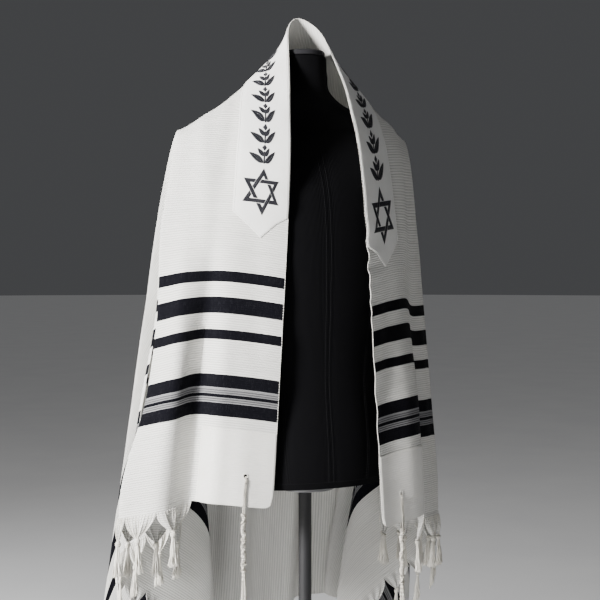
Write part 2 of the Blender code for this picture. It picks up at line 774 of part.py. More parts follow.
def make_corner_tassel(weave, name, side, at_back, group, hidden):
    """Strings looped through the eyelet, a wound stretch, and free strings below it."""
    route = []
    for k in range(LOOP_STEPS + 1):
        from_end = EYELET_INSET * (1 - k / LOOP_STEPS)
        across = corner_place(at_back, from_end if at_back else EYELET_INSET)
        route.append((weave.at(side, from_end, across), weave.outward(side, from_end, across)))
    proud = 0.5 * CLOTH_WALL + SEAM_GAP + PATCH_WALL + LOOP_RADIUS + LOOP_CLEARANCE
    if at_back:
        proud += BACK_PATCH_LIFT
    behind = 0.5 * CLOTH_WALL + LOOP_RADIUS + LOOP_CLEARANCE
    down = np.array([0.0, 0.0, -1.0])
    knot = route[-1][0] + LOOP_BELOW_HEM * down
    out = route[-1][1] * 0.002
    front = [place + proud * normal for place, normal in reversed(route)]
    rear = [place - behind * normal for place, normal in route]
    path = [knot + out, *front, *rear, knot - out]
    bends = range(WOUND_KNOTS * 2 - 1)
    line = [knot + down * (WOUND_LENGTH * k / bends[-1] - KNOT_ABOVE) for k in bends]
    radii = [WOUND_RADIUS if k % 2 == 0 else WOUND_WAIST for k in bends]
    wound = tube_object(f"corner_tassel_{name}", line, radii, 6, group)
    wound.data.materials.append(material(wound.name, "corner_tassel"))
    foot = line[-1] - down * KNOT_ABOVE
    parts = [("loop", path, [LOOP_RADIUS] * len(path), 6)]
    for k in range(STRING_COUNT):
        turn = 2 * math.pi * (k + 0.5) / STRING_COUNT
        spread = np.array([math.cos(turn), math.sin(turn), 0.0])
        line = [foot + down * STRING_LENGTH * s + spread * (STRING_ROOT + STRING_SPREAD * s)
                for s in (0, 0.5, 1)]
        parts.append((f"string_{k}", line, [STRING_RADIUS] * 3, 3))
    for label, line, radii, sides in parts:
        piece = tube_object(f"{name}_{label}", line, radii, sides, hidden)
        piece.hide_render = True
        piece.display_type = "WIRE"
        join = wound.modifiers.new(label, "BOOLEAN")
        join.operation = "UNION"
        join.solver = "EXACT"
        join.object = piece
    return wound


def superellipse_ring(height, half_width, half_depth, middle, squareness=2.35):
    ring = []
    for n in range(TORSO_SIDES):
        turn = 2 * math.pi * n / TORSO_SIDES
        c, s = math.cos(turn), math.sin(turn)
        power = 2 / squareness
        x = half_width * math.copysign(abs(c) ** power, c)
        y = middle + half_depth * math.copysign(abs(s) ** power, s)
        ring.append((x, y, height))
    return ring


def make_torso(group):
    heights = column(TORSO_SECTIONS, 1)
    rings = []
    for k in range(len(heights) - 1):
        steps = 2 if heights[k + 1] - heights[k] > 0.03 else 1
        rings += [heights[k] + (heights[k + 1] - heights[k]) * s / steps for s in range(steps)]
    rings.append(heights[-1])
    points = []
    for height in rings:
        sizes = [float(smooth_table(heights, column(TORSO_SECTIONS, i), height)) for i in (2, 3, 4)]
        points += superellipse_ring(height, *sizes)
    faces = []
    count = TORSO_SIDES
    for k in range(len(rings) - 1):
        for n in range(count):
            m = (n + 1) % count
            faces.append([k * count + n, k * count + m, (k + 1) * count + m, (k + 1) * count + n])
    faces.append(list(range(count))[::-1])
    faces.append([(len(rings) - 1) * count + n for n in range(count)])
    thing = mesh_object("form_torso", points, faces, "form", group)
    thing.data.set_sharp_from_angle(angle=math.radians(50))
    return thing


def smooth_table(positions, values, where):
    """Reads a table along a smooth curve through its rows."""
    k = int(np.clip(np.searchsorted(positions, where, side="right") - 1, 0, len(positions) - 2))
    slopes = np.gradient(values, positions)
    span = positions[k + 1] - positions[k]
    t = (where - positions[k]) / span
    a = (2 * t**3 - 3 * t**2 + 1) * values[k] + (t**3 - 2 * t**2 + t) * span * slopes[k]
    b = (3 * t**2 - 2 * t**3) * values[k + 1] + (t**3 - t**2) * span * slopes[k + 1]
    return a + b


def turned(name, profile, kind, group, sides=ROUND_SIDES, middle=(0.0, 0.0)):
    """A turned piece from its profile of radius and height, top to bottom on the outer side."""
    points = [(radius, 0.0, height) for radius, height in profile]
    mesh = bpy.data.meshes.new(name)
    mesh.from_pydata(points, [(k, k + 1) for k in range(len(points) - 1)], [])
    thing = bpy.data.objects.new(name, mesh)
    thing.location = (middle[0], middle[1], 0.0)
    mesh.materials.append(material(name, kind))
    group.objects.link(thing)
    screw = thing.modifiers.new("Turn", "SCREW")
    screw.steps = sides
    screw.render_steps = sides
    screw.use_merge_vertices = True
    screw.merge_threshold = 0.0001
    screw.use_smooth_shade = True
    return thing


def lower_onto(weave, torso):
    """How far the cloth comes down, or goes up, to lie just clear of the form's shoulders."""
    form_points = [v.co for v in torso.data.vertices]
    form = BVHTree.FromPolygons(form_points, [p.vertices for p in torso.data.polygons])
    cloth_points = [Vector(p) for p in weave.points]
    cloth = BVHTree.FromPolygons(cloth_points, weave.faces)
    lowest = SHOULDER_POINT[2] - SHOULDER_ZONE
    gaps = []
    for point in cloth_points:
        hit = form.ray_cast(point + Vector((0, 0, 0.2)), Vector((0, 0, -1)))[0]
        if hit is not None and point.z > lowest and abs(point.x) > NECK_ZONE:
            gaps.append(point.z - hit.z)
    for point in form_points:
        hit = cloth.ray_cast(point - Vector((0, 0, 0.05)), Vector((0, 0, 1)))[0]
        if hit is not None and point.z > lowest and abs(point.x) > NECK_ZONE:
            gaps.append(hit.z - point.z)
    return min(gaps) - CLOTH_WALL - REST_GAP


def build():
    clear_scene()
    group = collection("prayer_shawl_on_dress_form")
    hidden = collection("cutters_and_guides", hidden=True)
    torso = make_torso(group)
    neck = TORSO_SECTIONS[-1]
    cap_low = neck[1] + SEAM_GAP
    turned("neck_cap", [(0.0, cap_low + CAP_HEIGHT), (CAP_RADIUS - 0.004, cap_low + CAP_HEIGHT),
                        (CAP_RADIUS, cap_low + CAP_HEIGHT - 0.003), (CAP_RADIUS, cap_low + 0.001),
                        (CAP_RADIUS - 0.001, cap_low), (0.0, cap_low)], "form", group,
           middle=(0.0, neck[4]))
    pole_low = BASE_HEIGHT + HUB_HEIGHT + SEAM_GAP
    pole_top = TORSO_SECTIONS[0][1] - SEAM_GAP
    turned("stand_pole", [(0.0, pole_top), (POLE_RADIUS, pole_top), (POLE_RADIUS, pole_low),
                          (0.0, pole_low)], "stand", group, sides=24)
    turned("stand_base", [(0.0, BASE_HEIGHT + HUB_HEIGHT), (HUB_RADIUS - 0.003, BASE_HEIGHT + HUB_HEIGHT),
                          (HUB_RADIUS, BASE_HEIGHT + HUB_HEIGHT - 0.003), (HUB_RADIUS, BASE_HEIGHT + 0.004),
                          (HUB_RADIUS + 0.006, BASE_HEIGHT), (BASE_RADIUS - 0.004, BASE_HEIGHT),
                          (BASE_RADIUS, BASE_HEIGHT - 0.004), (BASE_RADIUS, 0.0), (0.0, 0.0)],
           "stand", group)
    weave = Weave()
    drop = lower_onto(weave, torso)
    weave.points[:, 2] -= drop
    cloth = make_cloth(weave, group)
    make_neckband(weave, group)
    for name, side, at_back in CORNERS:
        cutter = make_eyelet_cutter(weave, name, side, at_back, hidden)
        cut(cloth, cutter)
        cut(make_patch(weave, name, side, at_back, group), cutter)
        make_corner_tassel(weave, name, side, at_back, group, hidden)
    for side in (-1, 1):
        make_fringe(weave, side, group)


build()
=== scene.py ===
# A striped prayer shawl over the shoulders of a limbless dress form, dressed for the photograph's view.
# Metres, +Z up. The form faces -Y. The cloth's surface repeats the values of the part's source.
import math

import bpy
import numpy as np
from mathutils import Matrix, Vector, noise
from mathutils.bvhtree import BVHTree


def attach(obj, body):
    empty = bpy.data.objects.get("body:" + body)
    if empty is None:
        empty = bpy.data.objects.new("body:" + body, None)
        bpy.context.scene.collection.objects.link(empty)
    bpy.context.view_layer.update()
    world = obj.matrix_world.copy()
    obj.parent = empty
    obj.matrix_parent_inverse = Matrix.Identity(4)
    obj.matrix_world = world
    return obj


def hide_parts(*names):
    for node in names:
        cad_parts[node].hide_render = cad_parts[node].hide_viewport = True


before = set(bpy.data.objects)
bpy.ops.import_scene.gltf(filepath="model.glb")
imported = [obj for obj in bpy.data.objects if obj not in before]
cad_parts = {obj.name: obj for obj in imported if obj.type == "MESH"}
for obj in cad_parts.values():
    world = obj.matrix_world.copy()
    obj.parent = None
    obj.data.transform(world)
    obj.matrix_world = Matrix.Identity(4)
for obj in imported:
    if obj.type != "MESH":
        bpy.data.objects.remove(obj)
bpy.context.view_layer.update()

# Flat cut of the cloth
CLOTH_LENGTH = 1.95
CLOTH_WIDTH = 1.20
CLOTH_WALL = 0.0010
YOKE_HALF = 0.26
YOKE_DEPTH = 0.225
FRONT_DROP = CLOTH_LENGTH / 2 - YOKE_HALF
BACK_DROP = CLOTH_WIDTH - YOKE_DEPTH
CORNER_ANGLE = math.degrees(math.atan2(BACK_DROP, FRONT_DROP))

# Drape over the form
CLOTH_RISE = 0.0026
SHOULDER_POINT = (0.222, 0.045, 1.549)
BACK_POINT = (0.0, 0.122, 1.503)
SHOULDER_ROUND = 0.026
BACK_ROUND = 0.010
FRONT_BOW = 0.014
RIDGE_START = 0.065
NECK_EDGE = (
    (0.000, 0.036, 1.742),
    (0.020, 0.024, 1.732),
    (0.036, 0.000, 1.706),
    (0.045, -0.026, 1.660),
    (0.057, -0.058, 1.600),
    (0.065, -0.078, 1.528),
    (0.070, -0.088, 1.460),
)
FRONT_SECTIONS = {
    -1: (
        ("neck edge", 0.000, 3.3, 0.2, 8, 0.030, 0.080),
        ("band edge", 0.110, 5.0, -1.2, 22, 0.030, 0.070),
        ("valley", 0.180, 6.4, 0.6, 36, 0.028, 0.045),
        ("shoulder", YOKE_DEPTH, 8.2, -0.6, 48, SHOULDER_ROUND, SHOULDER_ROUND),
    ),
    1: (
        ("neck edge", 0.000, 3.3, 0.2, 8, 0.030, 0.080),
        ("band edge", 0.110, 4.0, -0.4, 24, 0.030, 0.070),
        ("valley", 0.180, 4.2, 1.4, 38, 0.028, 0.045),
        ("shoulder", YOKE_DEPTH, 5.4, 1.0, 50, SHOULDER_ROUND, SHOULDER_ROUND),
    ),
}
SIDE_FOLDS = {
    -1: (
        ("outer front", 5, 10.0, 0.6),
        ("inner front", 18, -3.0, 3.0),
        ("outer middle", 32, 7.0, 5.4),
        ("inner middle", 48, -8.5, 7.6),
        ("outer back", 66, 6.0, 10.0),
        ("inner back", 78, -6.0, 11.4),
        ("back edge", 90, 1.5, 13.8),
    ),
    1: (
        ("outer front", 5, 7.2, 2.0),
        ("inner front", 18, -4.5, 4.2),
        ("outer middle", 32, 9.2, 6.6),
        ("inner middle", 48, -6.0, 8.2),
        ("outer back", 66, 7.0, 10.2),
        ("inner back", 78, -6.0, 11.6),
        ("back edge", 90, 1.5, 13.8),
    ),
}
# Name, side, four places across, four places from the short end, shift outward, backward, upward
SETTLING = (
    ("right panel hangs lower",
     1, (-2, -1, 0.30, 0.62), (-2, -1, 0.51, 0.72), (0.000, -0.004, -0.053)),
    ("right panel faces the front",
     1, (0.025, 0.122, 0.130, 0.172), (-2, -1, 0.20, 0.47), (0.006, -0.024, 0.000)),
    ("right valley",
     1, (0.128, 0.168, 0.176, 0.240), (-2, -1, 0.20, 0.52), (-0.004, 0.014, 0.000)),
    ("right outer front hangs lower",
     1, (0.130, 0.172, 0.30, 0.60), (-2, -1, 0.34, 0.69), (0.000, 0.000, -0.026)),
    ("left outer front hangs lower",
     -1, (0.12, 0.26, 0.34, 0.60), (-2, -1, 0.18, 0.70), (0.004, -0.016, -0.028)),
    ("left valley",
     -1, (0.108, 0.138, 0.144, 0.196), (-2, -1, 0.18, 0.48), (0.002, 0.018, 0.000)),
    ("left ridge",
     -1, (0.146, 0.184, 0.194, 0.250), (-2, -1, 0.24, 0.52), (0.000, -0.020, 0.000)),
    ("left outer edge drawn in",
     -1, (0.16, 0.27, 0.34, 0.52), (0.05, 0.22, 0.32, 0.54), (-0.022, 0.000, 0.000)),
)
FOLD_START = 0.20
BACK_LEAN = 7.5
BACK_FLUTES = 3
BACK_FLUTE_LEAN = 1.1
FRONT_COLUMNS = (0.0, 0.020, 0.055, 0.083, 0.110, 0.140, 0.170, 0.200, YOKE_DEPTH)
SIDE_COLUMNS = 34
BACK_COLUMNS = 16
ROWS = 18
ROW_CROWDING = 1.2
SMOOTH_PASSES = 2
YOKE_SMOOTH_PASSES = 5
YOKE_LOWEST = 1.40
FINE_LEVELS = 2

# Sewn pieces
BAND_LENGTH = 0.985
BAND_WIDTH = 0.110
BAND_POINT = 0.043
BAND_WALL = 0.0009
PATCH_LENGTH = 0.135
PATCH_WIDTH = 0.130
PATCH_WALL = 0.0008
PIECE_LIFT = 0.0006
PIECE_BASE = 0.5 * CLOTH_WALL + PIECE_LIFT
EDGE_INSET = 0.001
EDGE_SOFTNESS = 0.004
BAND_PUFF = 0.0007
PATCH_PUFF = 0.0005
STITCH_INSET = 0.0028
EYELET_INSET = 0.055
EYELET_RADIUS = 0.0035
EYELET_STITCHES = 26
# Each corner's name, its side and whether it is at the back
CORNERS = (("front_left", -1, False), ("front_right", 1, False),
           ("back_left", -1, True), ("back_right", 1, True))

# Embroidery, along the band from its middle
STAR_PLACE = 0.408
STAR_REACH = 0.0372
STAR_BAR_HALF = 0.0035
STAR_LACE_GAP = 0.0011
VINE_START, VINE_END = 0.360, 0.020
VINE_STEP = 0.0400
STEM_LENGTH, STEM_HALF = 0.0240, 0.0015
# Each pair of leaves: its root along the stem and off it, lean in degrees, length, width
LEAVES = ((0.0015, 0.0022, 52, 0.0340, 0.0062), (0.0150, 0.0020, 36, 0.0185, 0.0044))
LEAF_SLIT = 0.00022
LOZENGE_AHEAD, LOZENGE_SIZE = 0.0315, (0.0062, 0.0056)
MIDDLE_LOZENGE_SIZE = (0.011, 0.010)
EMBROIDERY_WALL = 0.00035
EMBROIDERY_SWELL = 0.0005

# Fringe and corner strings
FRINGE_PITCH = 0.054
FRINGE_WEB = 0.044
FRINGE_KNOT = 0.012
FRINGE_STRAND_LENGTH = 0.056
FRINGE_GAP = 0.003
FRINGE_BEND = 0.008
FRINGE_END_GAP = 0.006
WEB_LINES, WEB_ROWS = 15, 9
WEB_YARNS, WEB_YARN_RADIUS = 12, 0.00055
WRAP_RADII, WRAP_PITCH, WRAP_YARN_RADIUS = (0.0036, 0.0052, 0.0050, 0.0036), 0.0026, 0.00170
TASSEL_STRANDS = 44
STRAND_RADII = (0.00065, 0.00080, 0.00085, 0.00085, 0.00080, 0.00075, 0.00055)
GOLDEN_ANGLE = 2.39996
LOOP_BELOW_HEM = 0.016
WOUND_LENGTH = 0.105
KNOT_ABOVE = 0.004
STRING_LENGTH = 0.170
STRING_COUNT = 8
LOOP_SHIFT, LOOP_RADIUS = 0.0014, 0.00150
WOUND_TURNS, COIL_RADIUS = 38, 0.00125
WOUND_LUMPS, LUMP_RADIUS = 10, 0.00130
TAIL_RADII = (*[0.00120] * 20, 0.0015, 0.0009)

# The photograph's camera, from its marks on a picture 600 wide
PICTURE_SIZE = 600
PICTURE_MIDDLE = (305, 260)
FOCAL_LENGTH_PIXELS = 1286
CAMERA_AZIMUTH = -24
CAMERA_DISTANCE = 2.45
CAMERA_HEIGHT = 1.275
SENSOR_WIDTH = 36

FULL_TURN = 2 * math.pi
DOWN = np.array([0.0, 0.0, -1.0])
RANDOM = np.random.default_rng(7)


# The drape
def eased(positions, values, where):
    place = int(np.clip(np.searchsorted(positions, where, side="right") - 1, 0, len(positions) - 2))
    share = (where - positions[place]) / (positions[place + 1] - positions[place])
    share = min(max(share, 0.0), 1.0)
    share = share * share * (3 - 2 * share)
    return values[place] * (1 - share) + values[place + 1] * share


def between(places, where):
    """Rises from 0 to 1 between the first two places, and falls again between the last two."""
    rise = np.clip((where - places[0]) / (places[1] - places[0]), 0, 1)
    fall = np.clip((places[3] - where) / (places[3] - places[2]), 0, 1)
    return rise * rise * (3 - 2 * rise) * fall * fall * (3 - 2 * fall)


def column(rows, index):
    return np.array([row[index] for row in rows], float)


def mirrored(point, side):
    return np.array([point[0] * side, point[1], point[2]], float)


def neck_edge_point(distance, side):
    knots = np.array(NECK_EDGE)
    along = np.concatenate([[0], np.cumsum(np.linalg.norm(np.diff(knots, axis=0), axis=1))])
    return mirrored([np.interp(distance, along, knots[:, axis]) for axis in range(3)], side)


def front_top_point(across, side):
    share = across / YOKE_DEPTH
    start = neck_edge_point(YOKE_HALF, side)
    bow = 4 * share * (1 - share) * FRONT_BOW
    return start * (1 - share) + mirrored(SHOULDER_POINT, side) * share + np.array([0.0, -bow, 0.3 * bow])


def back_top_point(along):
    shoulder, back = np.array(SHOULDER_POINT), np.array(BACK_POINT)
    point = shoulder + (back - shoulder) * (1 - abs(along) ** 2.2)
    return np.array([shoulder[0] * along, point[1], point[2]])


def hanging_point(top, side, distance, leans, plain, turn, rounding, length):
    ready = min(1.0, distance / FOLD_START)
    ready = ready * ready * (3 - 2 * ready)
    out_lean, back_lean = (p + (lean - p) * ready for lean, p in zip(leans, plain))
    bulge = rounding * (1 - math.exp(-distance / length))
    out = distance * math.tan(math.radians(out_lean)) + bulge * math.sin(math.radians(turn))
    back = distance * math.tan(math.radians(back_lean)) - bulge * math.cos(math.radians(turn))
    return top + np.array([side * out, back, 0.30 * bulge - distance])


def hung_column(top, side, reach, bend, place):
    """A line of points down from the top, each with its flat place, closer together near the top."""
    distances = [reach * (row / ROWS) ** ROW_CROWDING for row in range(ROWS + 1)]
    return [(hanging_point(top, side, distance, *bend), place(distance)) for distance in distances]


def flat_place(side, from_end, across):
    """Place on the flat cloth: along it from the left short end, and across from the neck edge."""
    return (from_end if side < 0 else CLOTH_LENGTH - from_end, across)


def front_columns(side):
    rows = FRONT_SECTIONS[side]
    flat = column(rows, 1)
    made = []
    for across in FRONT_COLUMNS:
        values = [float(np.interp(across, flat, column(rows, i))) for i in range(2, 7)]
        bend = (values[:2], values[:2], *values[2:])
        made.append(hung_column(front_top_point(across, side), side, FRONT_DROP, bend,
                                lambda distance: flat_place(side, FRONT_DROP - distance, across)))
    return made


def side_angles():
    angles = np.linspace(0, 90, SIDE_COLUMNS + 1)
    angles[np.argmin(abs(angles - CORNER_ANGLE))] = CORNER_ANGLE
    return angles


def side_columns(side):
    last = FRONT_SECTIONS[side][-1]
    rows = [(last[0], 0.0, last[2], last[3]), *SIDE_FOLDS[side]]
    flat = column(rows, 1)
    top = mirrored(SHOULDER_POINT, side)
    made = []
    for angle in side_angles():
        leans = (eased(flat, column(rows, 2), angle), float(np.interp(angle, flat, column(rows, 3))))
        share = angle / 90
        plain = [rows[0][i] * (1 - share) + rows[-1][i] * share for i in (2, 3)]
        turn = last[4] + (135 - last[4]) * share
        cosine, sine = math.cos(math.radians(angle)), math.sin(math.radians(angle))
        reach = min(FRONT_DROP / max(cosine, 1e-9), BACK_DROP / max(sine, 1e-9))
        made.append(hung_column(top, side, reach, (leans, plain, turn, SHOULDER_ROUND, SHOULDER_ROUND),
                                lambda distance: flat_place(side, FRONT_DROP - distance * cosine,
                                                            YOKE_DEPTH + distance * sine)))
    return made


def back_columns():
    edge = SIDE_FOLDS[1][-1]
    made = []
    for place in np.linspace(-1, 1, BACK_COLUMNS + 1):
        middle = (1 - place * place) ** 2
        flute = BACK_FLUTE_LEAN * middle * math.cos(BACK_FLUTES * math.pi * place)
        leans = (edge[2] * abs(place), edge[3] * (1 - middle) + BACK_LEAN * middle + flute)
        rounding = BACK_ROUND * middle + SHOULDER_ROUND * (1 - middle)
        side = 1 if place > 0 else -1
        bend = (leans, leans, 180 - 45 * abs(place), rounding, rounding)
        along = CLOTH_LENGTH / 2 + place * YOKE_HALF
        made.append(hung_column(back_top_point(place), side, BACK_DROP, bend,
                                lambda distance: (along, YOKE_DEPTH + distance)))
    return made


def yoke_point(along, across):
    side = 1 if along > 0 else -1
    from_front = YOKE_HALF - abs(along)
    ridge = RIDGE_START + (YOKE_HALF - RIDGE_START) * across / YOKE_DEPTH
    if abs(along) > ridge:
        span = (YOKE_HALF - RIDGE_START) * across
        share = span / (from_front * YOKE_DEPTH + span) if span > 0 else 0.0
        start = YOKE_HALF - from_front / max(1 - share, 1e-6) if share < 1 else YOKE_HALF
        end = front_top_point(across / share if share > 0 else 0.0, side)
        return neck_edge_point(start, side) * (1 - share) + end * share
    share = across / YOKE_DEPTH
    keep = RIDGE_START / YOKE_HALF
    end = along / (keep * (1 - share) + share)
    return neck_edge_point(abs(end) * keep, side) * (1 - share) + back_top_point(end / YOKE_HALF) * share


def yoke_columns():
    places = np.linspace(-YOKE_HALF, YOKE_HALF, BACK_COLUMNS + 1)
    made = []
    for across in FRONT_COLUMNS:
        points = [yoke_point(place, across) for place in places]
        points[0], points[-1] = front_top_point(across, -1), front_top_point(across, 1)
        made.append([(p, (CLOTH_LENGTH / 2 + place, across)) for p, place in zip(points, places)])
    return made


class Weave:
    """The cloth's main form, as in the part's source, with each point's place on the flat cloth."""

    def __init__(self):
        self.points, self.flat, self.faces, self.known = [], [], [], {}
        self.front = [self.add(front_columns(s), s < 0) for s in (-1, 1)]
        self.side = [self.add(side_columns(s), s < 0) for s in (-1, 1)]
        self.add(back_columns(), True)
        self.add(yoke_columns(), False)
        self.points = np.array(self.points)
        self.smooth()
        self.settle()
        self.points[:, 2] += CLOTH_RISE

    def index(self, point, flat):
        key = tuple(np.round(point, 6))
        if key not in self.known:
            self.known[key] = len(self.points)
            self.points.append(point)
            self.flat.append(flat)
        return self.known[key]

    def add(self, columns, flipped):
        grid = [[self.index(*entry) for entry in line] for line in columns]
        for a, b in zip(grid, grid[1:]):
            for r in range(len(a) - 1):
                face = [a[r], a[r + 1], b[r + 1], b[r]]
                face = [v for k, v in enumerate(face) if v != face[k - 1]]
                if len(face) > 2:
                    self.faces.append(face[::-1] if flipped else face)
        return grid

    def smooth(self):
        uses = {}
        for face in self.faces:
            for k, v in enumerate(face):
                pair = tuple(sorted((face[k - 1], v)))
                uses[pair] = uses.get(pair, 0) + 1
        rim_pairs = np.array([pair for pair, count in uses.items() if count == 1])
        rim = np.unique(rim_pairs)
        corner = int(np.argmin(abs(side_angles() - CORNER_ANGLE)))
        corners = [grid[corner][-1] for grid in self.side] + [grid[0][-1] for grid in self.front]
        inside = np.setdiff1d(np.arange(len(self.points)), rim)
        high = inside[self.points[inside, 2] > YOKE_LOWEST]
        hem = np.setdiff1d(rim[self.points[rim, 2] < YOKE_LOWEST], corners)
        pairs = np.array(list(uses))
        for _ in range(SMOOTH_PASSES):
            self.relax(pairs, inside)
            self.relax(rim_pairs, hem)
        for _ in range(YOKE_SMOOTH_PASSES):
            self.relax(pairs, high)

    def settle(self):
        along, across = np.array(self.flat).T
        which = np.where(along < CLOTH_LENGTH / 2, -1, 1)
        from_end = np.minimum(along, CLOTH_LENGTH - along)
        for _, side, over, down, (out, back, up) in SETTLING:
            share = between(over, across) * between(down, from_end) * (which == side)
            self.points += share[:, None] * np.array([side * out, back, up])

    def relax(self, pairs, free):
        total, count = np.zeros_like(self.points), np.zeros(len(self.points))
        for a, b in ((0, 1), (1, 0)):
            np.add.at(total, pairs[:, a], self.points[pairs[:, b]])
            np.add.at(count, pairs[:, a], 1)
        self.points[free] = 0.5 * (self.points[free] + total[free] / count[free][:, None])


# Creases, each a soft trough or ridge along a line on the flat cloth:
# side, start (from the short end, across), end, half width, height
CREASES = (
    (-1, (0.00, 0.136), (0.50, 0.140), 0.013, -0.014),
    (-1, (0.00, 0.182), (0.50, 0.188), 0.022, 0.012),
    (-1, (0.00, 0.104), (0.40, 0.108), 0.014, 0.005),
    (-1, (0.62, 0.128), (0.84, 0.120), 0.014, -0.006),
    (-1, (0.50, 0.150), (0.80, 0.205), 0.018, 0.004),
    (-1, (0.02, 0.060), (0.20, 0.085), 0.030, 0.003),
    (-1, (0.30, 0.050), (0.55, 0.075), 0.026, -0.003),
    (1, (0.00, 0.160), (0.40, 0.164), 0.014, -0.009),
    (1, (0.05, 0.205), (0.50, 0.214), 0.018, 0.006),
    (1, (0.58, 0.126), (0.80, 0.122), 0.014, -0.005),
    (1, (0.30, 0.040), (0.48, 0.075), 0.018, -0.004),
    (1, (0.55, 0.150), (0.82, 0.200), 0.016, 0.004),
    (-1, (0.12, 0.600), (0.56, 0.330), 0.045, -0.014),
    (-1, (0.10, 0.760), (0.52, 0.560), 0.034, -0.009),
    (1, (0.16, 0.400), (0.60, 0.320), 0.028, -0.008),
    (1, (0.14, 0.800), (0.50, 0.540), 0.032, 0.008),
    (-1, (0.785, 1.20), (0.755, 0.38), 0.026, 0.019),
    (-1, (0.838, 1.20), (0.815, 0.45), 0.022, -0.019),
    (-1, (0.882, 1.20), (0.880, 0.55), 0.020, 0.013),
    (-1, (0.932, 1.20), (0.934, 0.38), 0.026, -0.018),
    (1, (0.795, 1.20), (0.765, 0.40), 0.026, -0.020),
    (1, (0.852, 1.20), (0.832, 0.50), 0.022, 0.018),
    (1, (0.905, 1.20), (0.905, 0.55), 0.020, -0.015),
    (1, (0.962, 1.20), (0.955, 0.42), 0.026, 0.015),
    (-1, (0.950, 0.40), (0.965, 0.27), 0.020, -0.004),
    (1, (0.860, 0.42), (0.905, 0.24), 0.022, 0.004),
    (-1, (0.800, 0.40), (0.860, 0.22), 0.024, -0.005),
)
# Ripples along the neck edge: side, middle, reach, period, height
RIPPLES = ((1, 0.51, 0.055, 0.047, 0.0034), (1, 0.44, 0.060, 0.034, 0.0022), (1, 0.22, 0.10, 0.070, 0.0018),
           (-1, 0.55, 0.070, 0.062, 0.0014), (-1, 0.30, 0.09, 0.085, 0.0012))


def crease_height(along, across):
    """How far the cloth stands out of its main form, at places of the flat cloth."""
    total = np.zeros(len(across))
    for side, start, end, width, height in CREASES:
        start, end = np.array(flat_place(side, *start)), np.array(flat_place(side, *end))
        length = np.linalg.norm(end - start)
        line = (end - start) / length
        far = (along - start[0]) * line[0] + (across - start[1]) * line[1]
        off = (along - start[0]) * line[1] - (across - start[1]) * line[0]
        past = np.maximum(far - 0.55 * length, 0) / (0.45 * length)
        before = np.minimum(far, 0) / 0.06
        total += height * np.exp(-(past ** 2) * 1.6 - before ** 2 - (off / width) ** 2)
    for side, middle, reach, period, height in RIPPLES:
        far = (along if side < 0 else CLOTH_LENGTH - along) - middle
        fade = np.exp(-(far / reach) ** 2 - (across / 0.030) ** 2)
        total += height * np.cos(far * FULL_TURN / period) * fade
    return total


def soft_unevenness(along, across):
    """The small unevenness of hung cloth, stronger near the loose edges."""
    made = []
    for a, c in zip(along, across):
        broad = noise.noise(Vector((a * 5.0, c * 5.0, 0.3)))
        small = noise.noise(Vector((a * 17.0, c * 13.0, 4.1)))
        inset = min(a, CLOTH_LENGTH - a, CLOTH_WIDTH - c)
        loose = 0.4 + 0.6 * math.exp(-inset / 0.12)
        made.append((0.0032 * broad + 0.0011 * small) * loose)
    return np.array(made)


class Drape:
    """The finished surface of the cloth, which gives the point over any place of the flat cloth."""

    def __init__(self, weave):
        mesh = bpy.data.meshes.new("drape")
        mesh.from_pydata([tuple(p) for p in weave.points], [], weave.faces)
        flat = mesh.attributes.new("flat", "FLOAT_VECTOR", "POINT")
        flat.data.foreach_set("vector", np.array([(*f, 0.0) for f in weave.flat]).ravel())
        thing = in_scene("drape", mesh)
        finer = thing.modifiers.new("Finer", "SUBSURF")
        finer.levels = finer.render_levels = FINE_LEVELS
        fine = flattened(thing)
        count = len(fine.vertices)
        self.points, normals, places = (np.empty(count * 3) for _ in range(3))
        fine.vertices.foreach_get("co", self.points)
        fine.vertices.foreach_get("normal", normals)
        fine.attributes["flat"].data.foreach_get("vector", places)
        self.points, normals = self.points.reshape(-1, 3), normals.reshape(-1, 3)
        self.flat = places.reshape(-1, 3)
        along, across = self.flat[:, 0], self.flat[:, 1]
        lift = crease_height(along, across) + soft_unevenness(along, across)
        quiet = np.exp(-((along - CLOTH_LENGTH / 2) / 0.34) ** 2) * np.exp(-((across - 0.14) / 0.20) ** 2)
        lift = np.where(lift < 0, lift * (1 - quiet), lift * (1 - 0.5 * quiet))
        self.points = self.points + normals * lift[:, None]
        self.faces = [tuple(p.vertices) for p in fine.polygons]
        fine.vertices.foreach_set("co", self.points.ravel())
        fine.update()
        self.normals = np.array([v.normal[:] for v in fine.vertices])
        fine.calc_loop_triangles()
        self.triangles = [tuple(t.vertices) for t in fine.loop_triangles]
        self.tree = BVHTree.FromPolygons([tuple(p) for p in self.flat], self.triangles)
        bpy.data.meshes.remove(fine)

    def at(self, side, from_end, across, lift=0.0):
        """The point over a place of the flat cloth, raised from the cloth's middle by lift."""
        place = Vector((*flat_place(side, from_end, across), 0.0))
        hit, _, which, _ = self.tree.find_nearest(place)
        corners = self.triangles[which]
        a, b, c = (Vector(self.flat[i]) for i in corners)
        area = (b - a).cross(c - a).z
        shares = [(b - hit).cross(c - hit).z / area, (c - hit).cross(a - hit).z / area]
        shares.append(1 - sum(shares))
        point = sum(self.points[i] * s for i, s in zip(corners, shares))
        normal = sum(self.normals[i] * s for i, s in zip(corners, shares))
        return point + unit(normal) * lift

    def outward(self, side, from_end, across):
        return self.at(side, from_end, across, 1.0) - self.at(side, from_end, across)


# Making meshes
def unit(vector):
    return vector / np.linalg.norm(vector)


def in_scene(name, data):
    thing = bpy.data.objects.new(name, data)
    bpy.context.collection.objects.link(thing)
    return thing


def link(name, mesh, material_made=None):
    mesh.name = name
    if material_made:
        mesh.materials.clear()
        mesh.materials.append(material_made)
    mesh.shade_smooth()
    return in_scene(name, mesh)


